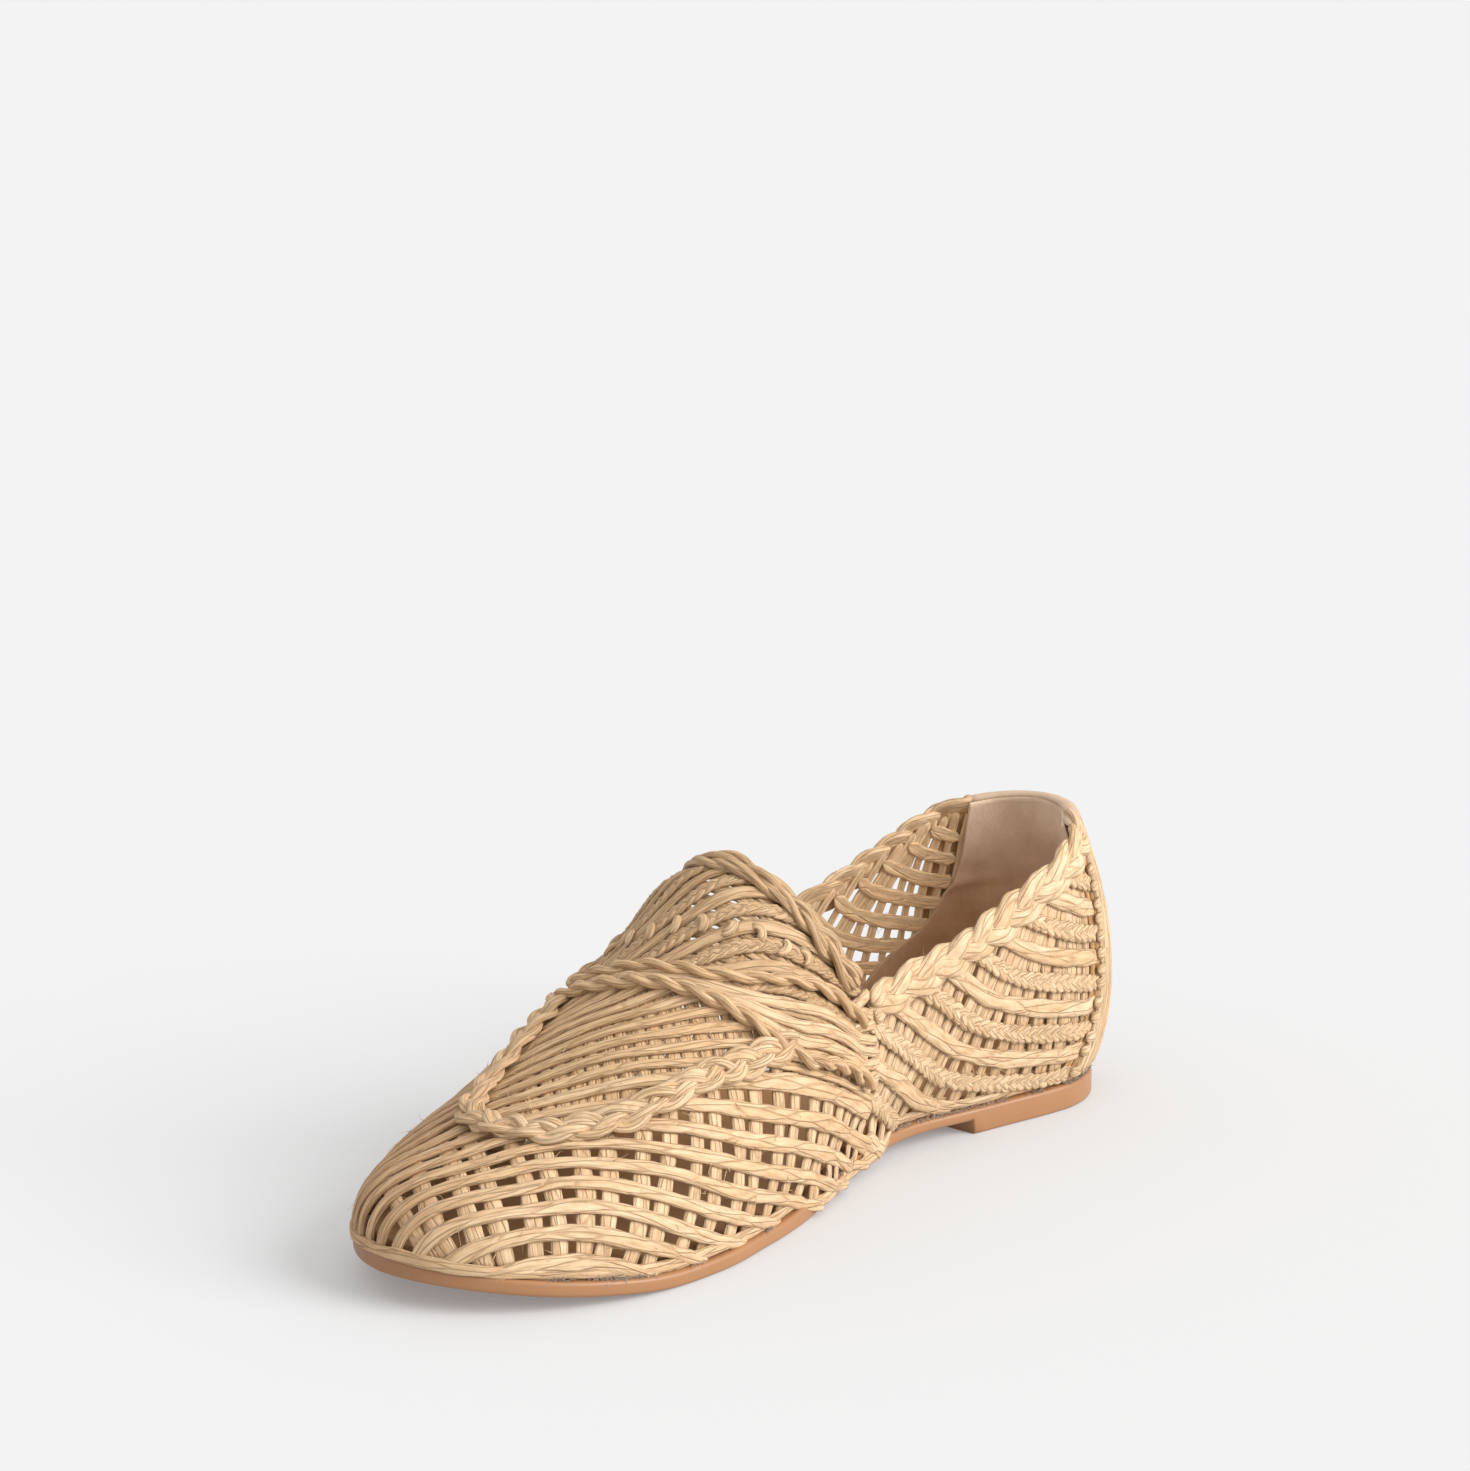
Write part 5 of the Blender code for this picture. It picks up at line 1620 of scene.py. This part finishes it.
def stray_fibres():
    """Fibres that have come loose from the cords: long thin hairs that lie close over the upper."""
    x = CHANCE.uniform(*STRAY_STATIONS, STRAYS)
    turn = CHANCE.uniform(-STRAY_TURN, STRAY_TURN, STRAYS) * turn_limit(x, 1)
    vamp = vamp_point(x, np.radians(turn))
    vamp = vamp[x > saddle_station(turn)]
    length = CHANCE.uniform(*STRAY_WALL, STRAYS)
    station = wall_station(length)
    low = feather(station) + STRAY_FOOT
    share = CHANCE.uniform(0.0, 1.0, STRAYS)
    side = np.where(CHANCE.uniform(size=STRAYS) < 0.5, -1, 1)
    quarter = wall_point(length, low + share * (collar_height(station) - low), side)
    roots = np.concatenate([vamp, quarter])
    out = outward(roots)
    loose = CHANCE.normal(size=roots.shape)
    flat = unit(loose - out * np.sum(loose * out, axis=1, keepdims=True))
    aim = unit(flat + STRAY_STAND * out)
    bend = STRAY_BEND * CHANCE.normal(size=roots.shape) - STRAY_INWARDS * out
    points, faces = hairs(roots, aim, CHANCE.uniform(*STRAY_LENGTHS, len(roots)), STRAY_RADIUS, bend)
    return new_piece("stray_fibres", points, faces, raffia)


def joint_lint():
    """Fuzz of the lining board in the joint of upper and sole: clumps of short hairs."""
    parts, faces, first = [], [], 0
    count = LINT_CLUMPS * CLUMP_HAIRS
    start, end = JOINT_ENDS
    for side in (1, -1):
        x = start + (end - start) * (1 - np.cos(np.linspace(0.08, math.pi, 500))) / 2
        y = last_value("centre", x) + side * plan_width(x, side, JOINT_MARGIN, UPPER_BACK, UPPER_TIP)
        path = even(np.stack([x, y, feather(x) - JOINT_DEPTH], -1), JOINT_STEP)
        ahead = np.gradient(path, axis=0)
        out = unit(np.stack([-ahead[:, 1], ahead[:, 0], np.full(len(path), LINT_UP)], -1) * side)
        clump = CHANCE.uniform(CLUMP_MARGIN, len(path) - CLUMP_MARGIN, LINT_CLUMPS)
        spread = CHANCE.uniform(*CLUMP_SPREAD, LINT_CLUMPS)
        pick = np.repeat(clump, CLUMP_HAIRS) + np.repeat(spread, CLUMP_HAIRS) * CHANCE.normal(size=count)
        pick = np.clip(pick, HAIR_MARGIN, len(path) - 1 - HAIR_MARGIN).astype(int)
        roots = path[pick] + CHANCE.normal(size=(count, 3)) * LINT_SCATTER
        aim = unit(out[pick] + CHANCE.normal(size=(count, 3)) * LINT_SPRAY)
        bend = CHANCE.normal(size=(count, 3)) * LINT_BEND
        points, spikes = hairs(roots, aim, CHANCE.uniform(*LINT_LENGTHS, count), LINT_RADIUS, bend)
        faces += [[i + first for i in face] for face in spikes]
        parts.append(points)
        first += len(points)
    return new_piece("joint_lint", np.concatenate(parts), faces, lint)


# Stage
# Camera: place and direction in the shoe's axes, focal length in pixels of the photo, the photo's width, and
# the sensor's width in millimetres
CAMERA_AT = (611.5, 450.0, 221.5)
CAMERA_AHEAD = (-0.7188, -0.6752, -0.1658)
FOCAL_PIXELS = 2727.0
PHOTO_WIDTH = 1470
SENSOR = 36.0
CAMERA_CLIP = (0.02, 60.0)
# Floor's half width in metres
FLOOR_REACH = 400.0
# Strength of the surroundings and of the key light, where that comes from, its angle in degrees, how steeply
# it falls; light that the floor gives itself, and its shade
BACKGROUND = 0.896
KEY_STRENGTH = 3.3
KEY_FROM = (-0.34, 0.82, 0.50)
KEY_SOFTNESS = 40.0
KEY_RISE = KEY_FROM[2] / math.hypot(*KEY_FROM)
FLOOR_GLOW = 0.2
FLOOR_SHADE = (BACKGROUND - FLOOR_GLOW) / (BACKGROUND + KEY_STRENGTH * KEY_RISE / math.pi)


def make_camera():
    """Camera where the photo was taken from, as far as the shoe's outline tells."""
    data = bpy.data.cameras.new("photo_camera")
    data.sensor_width = SENSOR
    data.sensor_fit = "HORIZONTAL"
    data.lens = FOCAL_PIXELS / PHOTO_WIDTH * SENSOR
    data.clip_start, data.clip_end = CAMERA_CLIP
    camera = bpy.data.objects.new("photo_camera", data)
    camera.location = to_frame(CAMERA_AT)
    camera.rotation_euler = Vector(CAMERA_AHEAD).to_track_quat("-Z", "Y").to_euler()
    bpy.context.scene.collection.objects.link(camera)
    bpy.context.scene.camera = camera


def make_stage():
    """Pale floor, far larger than the picture, that gives a little light itself."""
    corners = np.array([(-1, -1), (1, -1), (1, 1), (-1, 1)]) * FLOOR_REACH
    mesh = bpy.data.meshes.new("studio_floor")
    mesh.from_pydata([(x, y, 0.0) for x, y in corners.tolist()], [], [(0, 1, 2, 3)])
    material, _, shader = new_material("studio_floor", roughness=1.0)
    shader.inputs["Base Color"].default_value = (FLOOR_SHADE, FLOOR_SHADE, FLOOR_SHADE, 1)
    shader.inputs["Specular IOR Level"].default_value = 0.0
    shader.inputs["Emission Color"].default_value = (1.0, 1.0, 1.0, 1)
    shader.inputs["Emission Strength"].default_value = FLOOR_GLOW
    mesh.materials.append(material)
    floor = bpy.data.objects.new("studio_floor", mesh)
    bpy.context.scene.collection.objects.link(floor)


def make_lights():
    """White surroundings and one broad light from the camera's right; the floor's shade makes it as
    bright as the surroundings, so that no edge shows behind the shoe."""
    world = bpy.context.scene.world or bpy.data.worlds.new("studio")
    bpy.context.scene.world = world
    world.use_nodes = True
    world.node_tree.nodes["Background"].inputs["Color"].default_value = (1.0, 1.0, 1.0, 1)
    world.node_tree.nodes["Background"].inputs["Strength"].default_value = BACKGROUND
    data = bpy.data.lights.new("key_light", "SUN")
    data.energy = KEY_STRENGTH
    data.angle = math.radians(KEY_SOFTNESS)
    light = bpy.data.objects.new("key_light", data)
    light.rotation_euler = (-Vector(KEY_FROM)).to_track_quat("-Z", "Y").to_euler()
    light.location = Vector(KEY_FROM)
    bpy.context.scene.collection.objects.link(light)
    bpy.context.scene.view_settings.view_transform = "Standard"


make_camera()
make_stage()
make_lights()
make_sole()
make_sock()
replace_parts(cord_piece("vamp_rows", vamp_rows(), raffia), "upper")
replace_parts(cord_piece("vamp_rungs", vamp_rungs(), raffia), "upper")
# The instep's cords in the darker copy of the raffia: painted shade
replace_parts(cord_piece("instep_cords", instep_cords(), shaded_instep_raffia), "upper")
outer_face, inner_face = quarter_rows()
cross_cords = quarter_rungs()
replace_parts(cord_piece("quarter_rows", outer_face, raffia), "upper")
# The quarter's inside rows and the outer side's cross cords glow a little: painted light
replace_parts(cord_piece("quarter_inner_rows", inner_face, painted_glow_raffia), "upper")
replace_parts(cord_piece("inner_quarter_rungs", cross_cords[1], raffia), "upper")
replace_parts(cord_piece("outer_quarter_rungs", cross_cords[-1], painted_glow_raffia), "upper")
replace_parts(cord_piece("plug_braid_cords", plug_braid(), raffia), "plug_braid")
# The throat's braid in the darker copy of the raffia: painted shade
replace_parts(cord_piece("throat_braid_cords", throat_braid(), shaded_instep_raffia), "throat_braid")
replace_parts(cord_piece("saddle_ropes", saddle_ropes(), raffia), "saddle")
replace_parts(cord_piece("inner_collar_cords", collar_braids(1), raffia), "collar_braid_inner")
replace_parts(cord_piece("outer_collar_cords", collar_braids(-1), raffia), "collar_braid_outer")
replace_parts(cord_piece("counter_strands", counter_strands(), raffia), "heel_counter")
cord_piece("counter_stitches", counter_stitches(), raffia)
cord_piece("counter_seams", counter_seams(), seam_raffia)
cord_piece("seam_knots", knots(), raffia)
heel_lining()
heel_binding()
joint_lint()
stray_fibres()
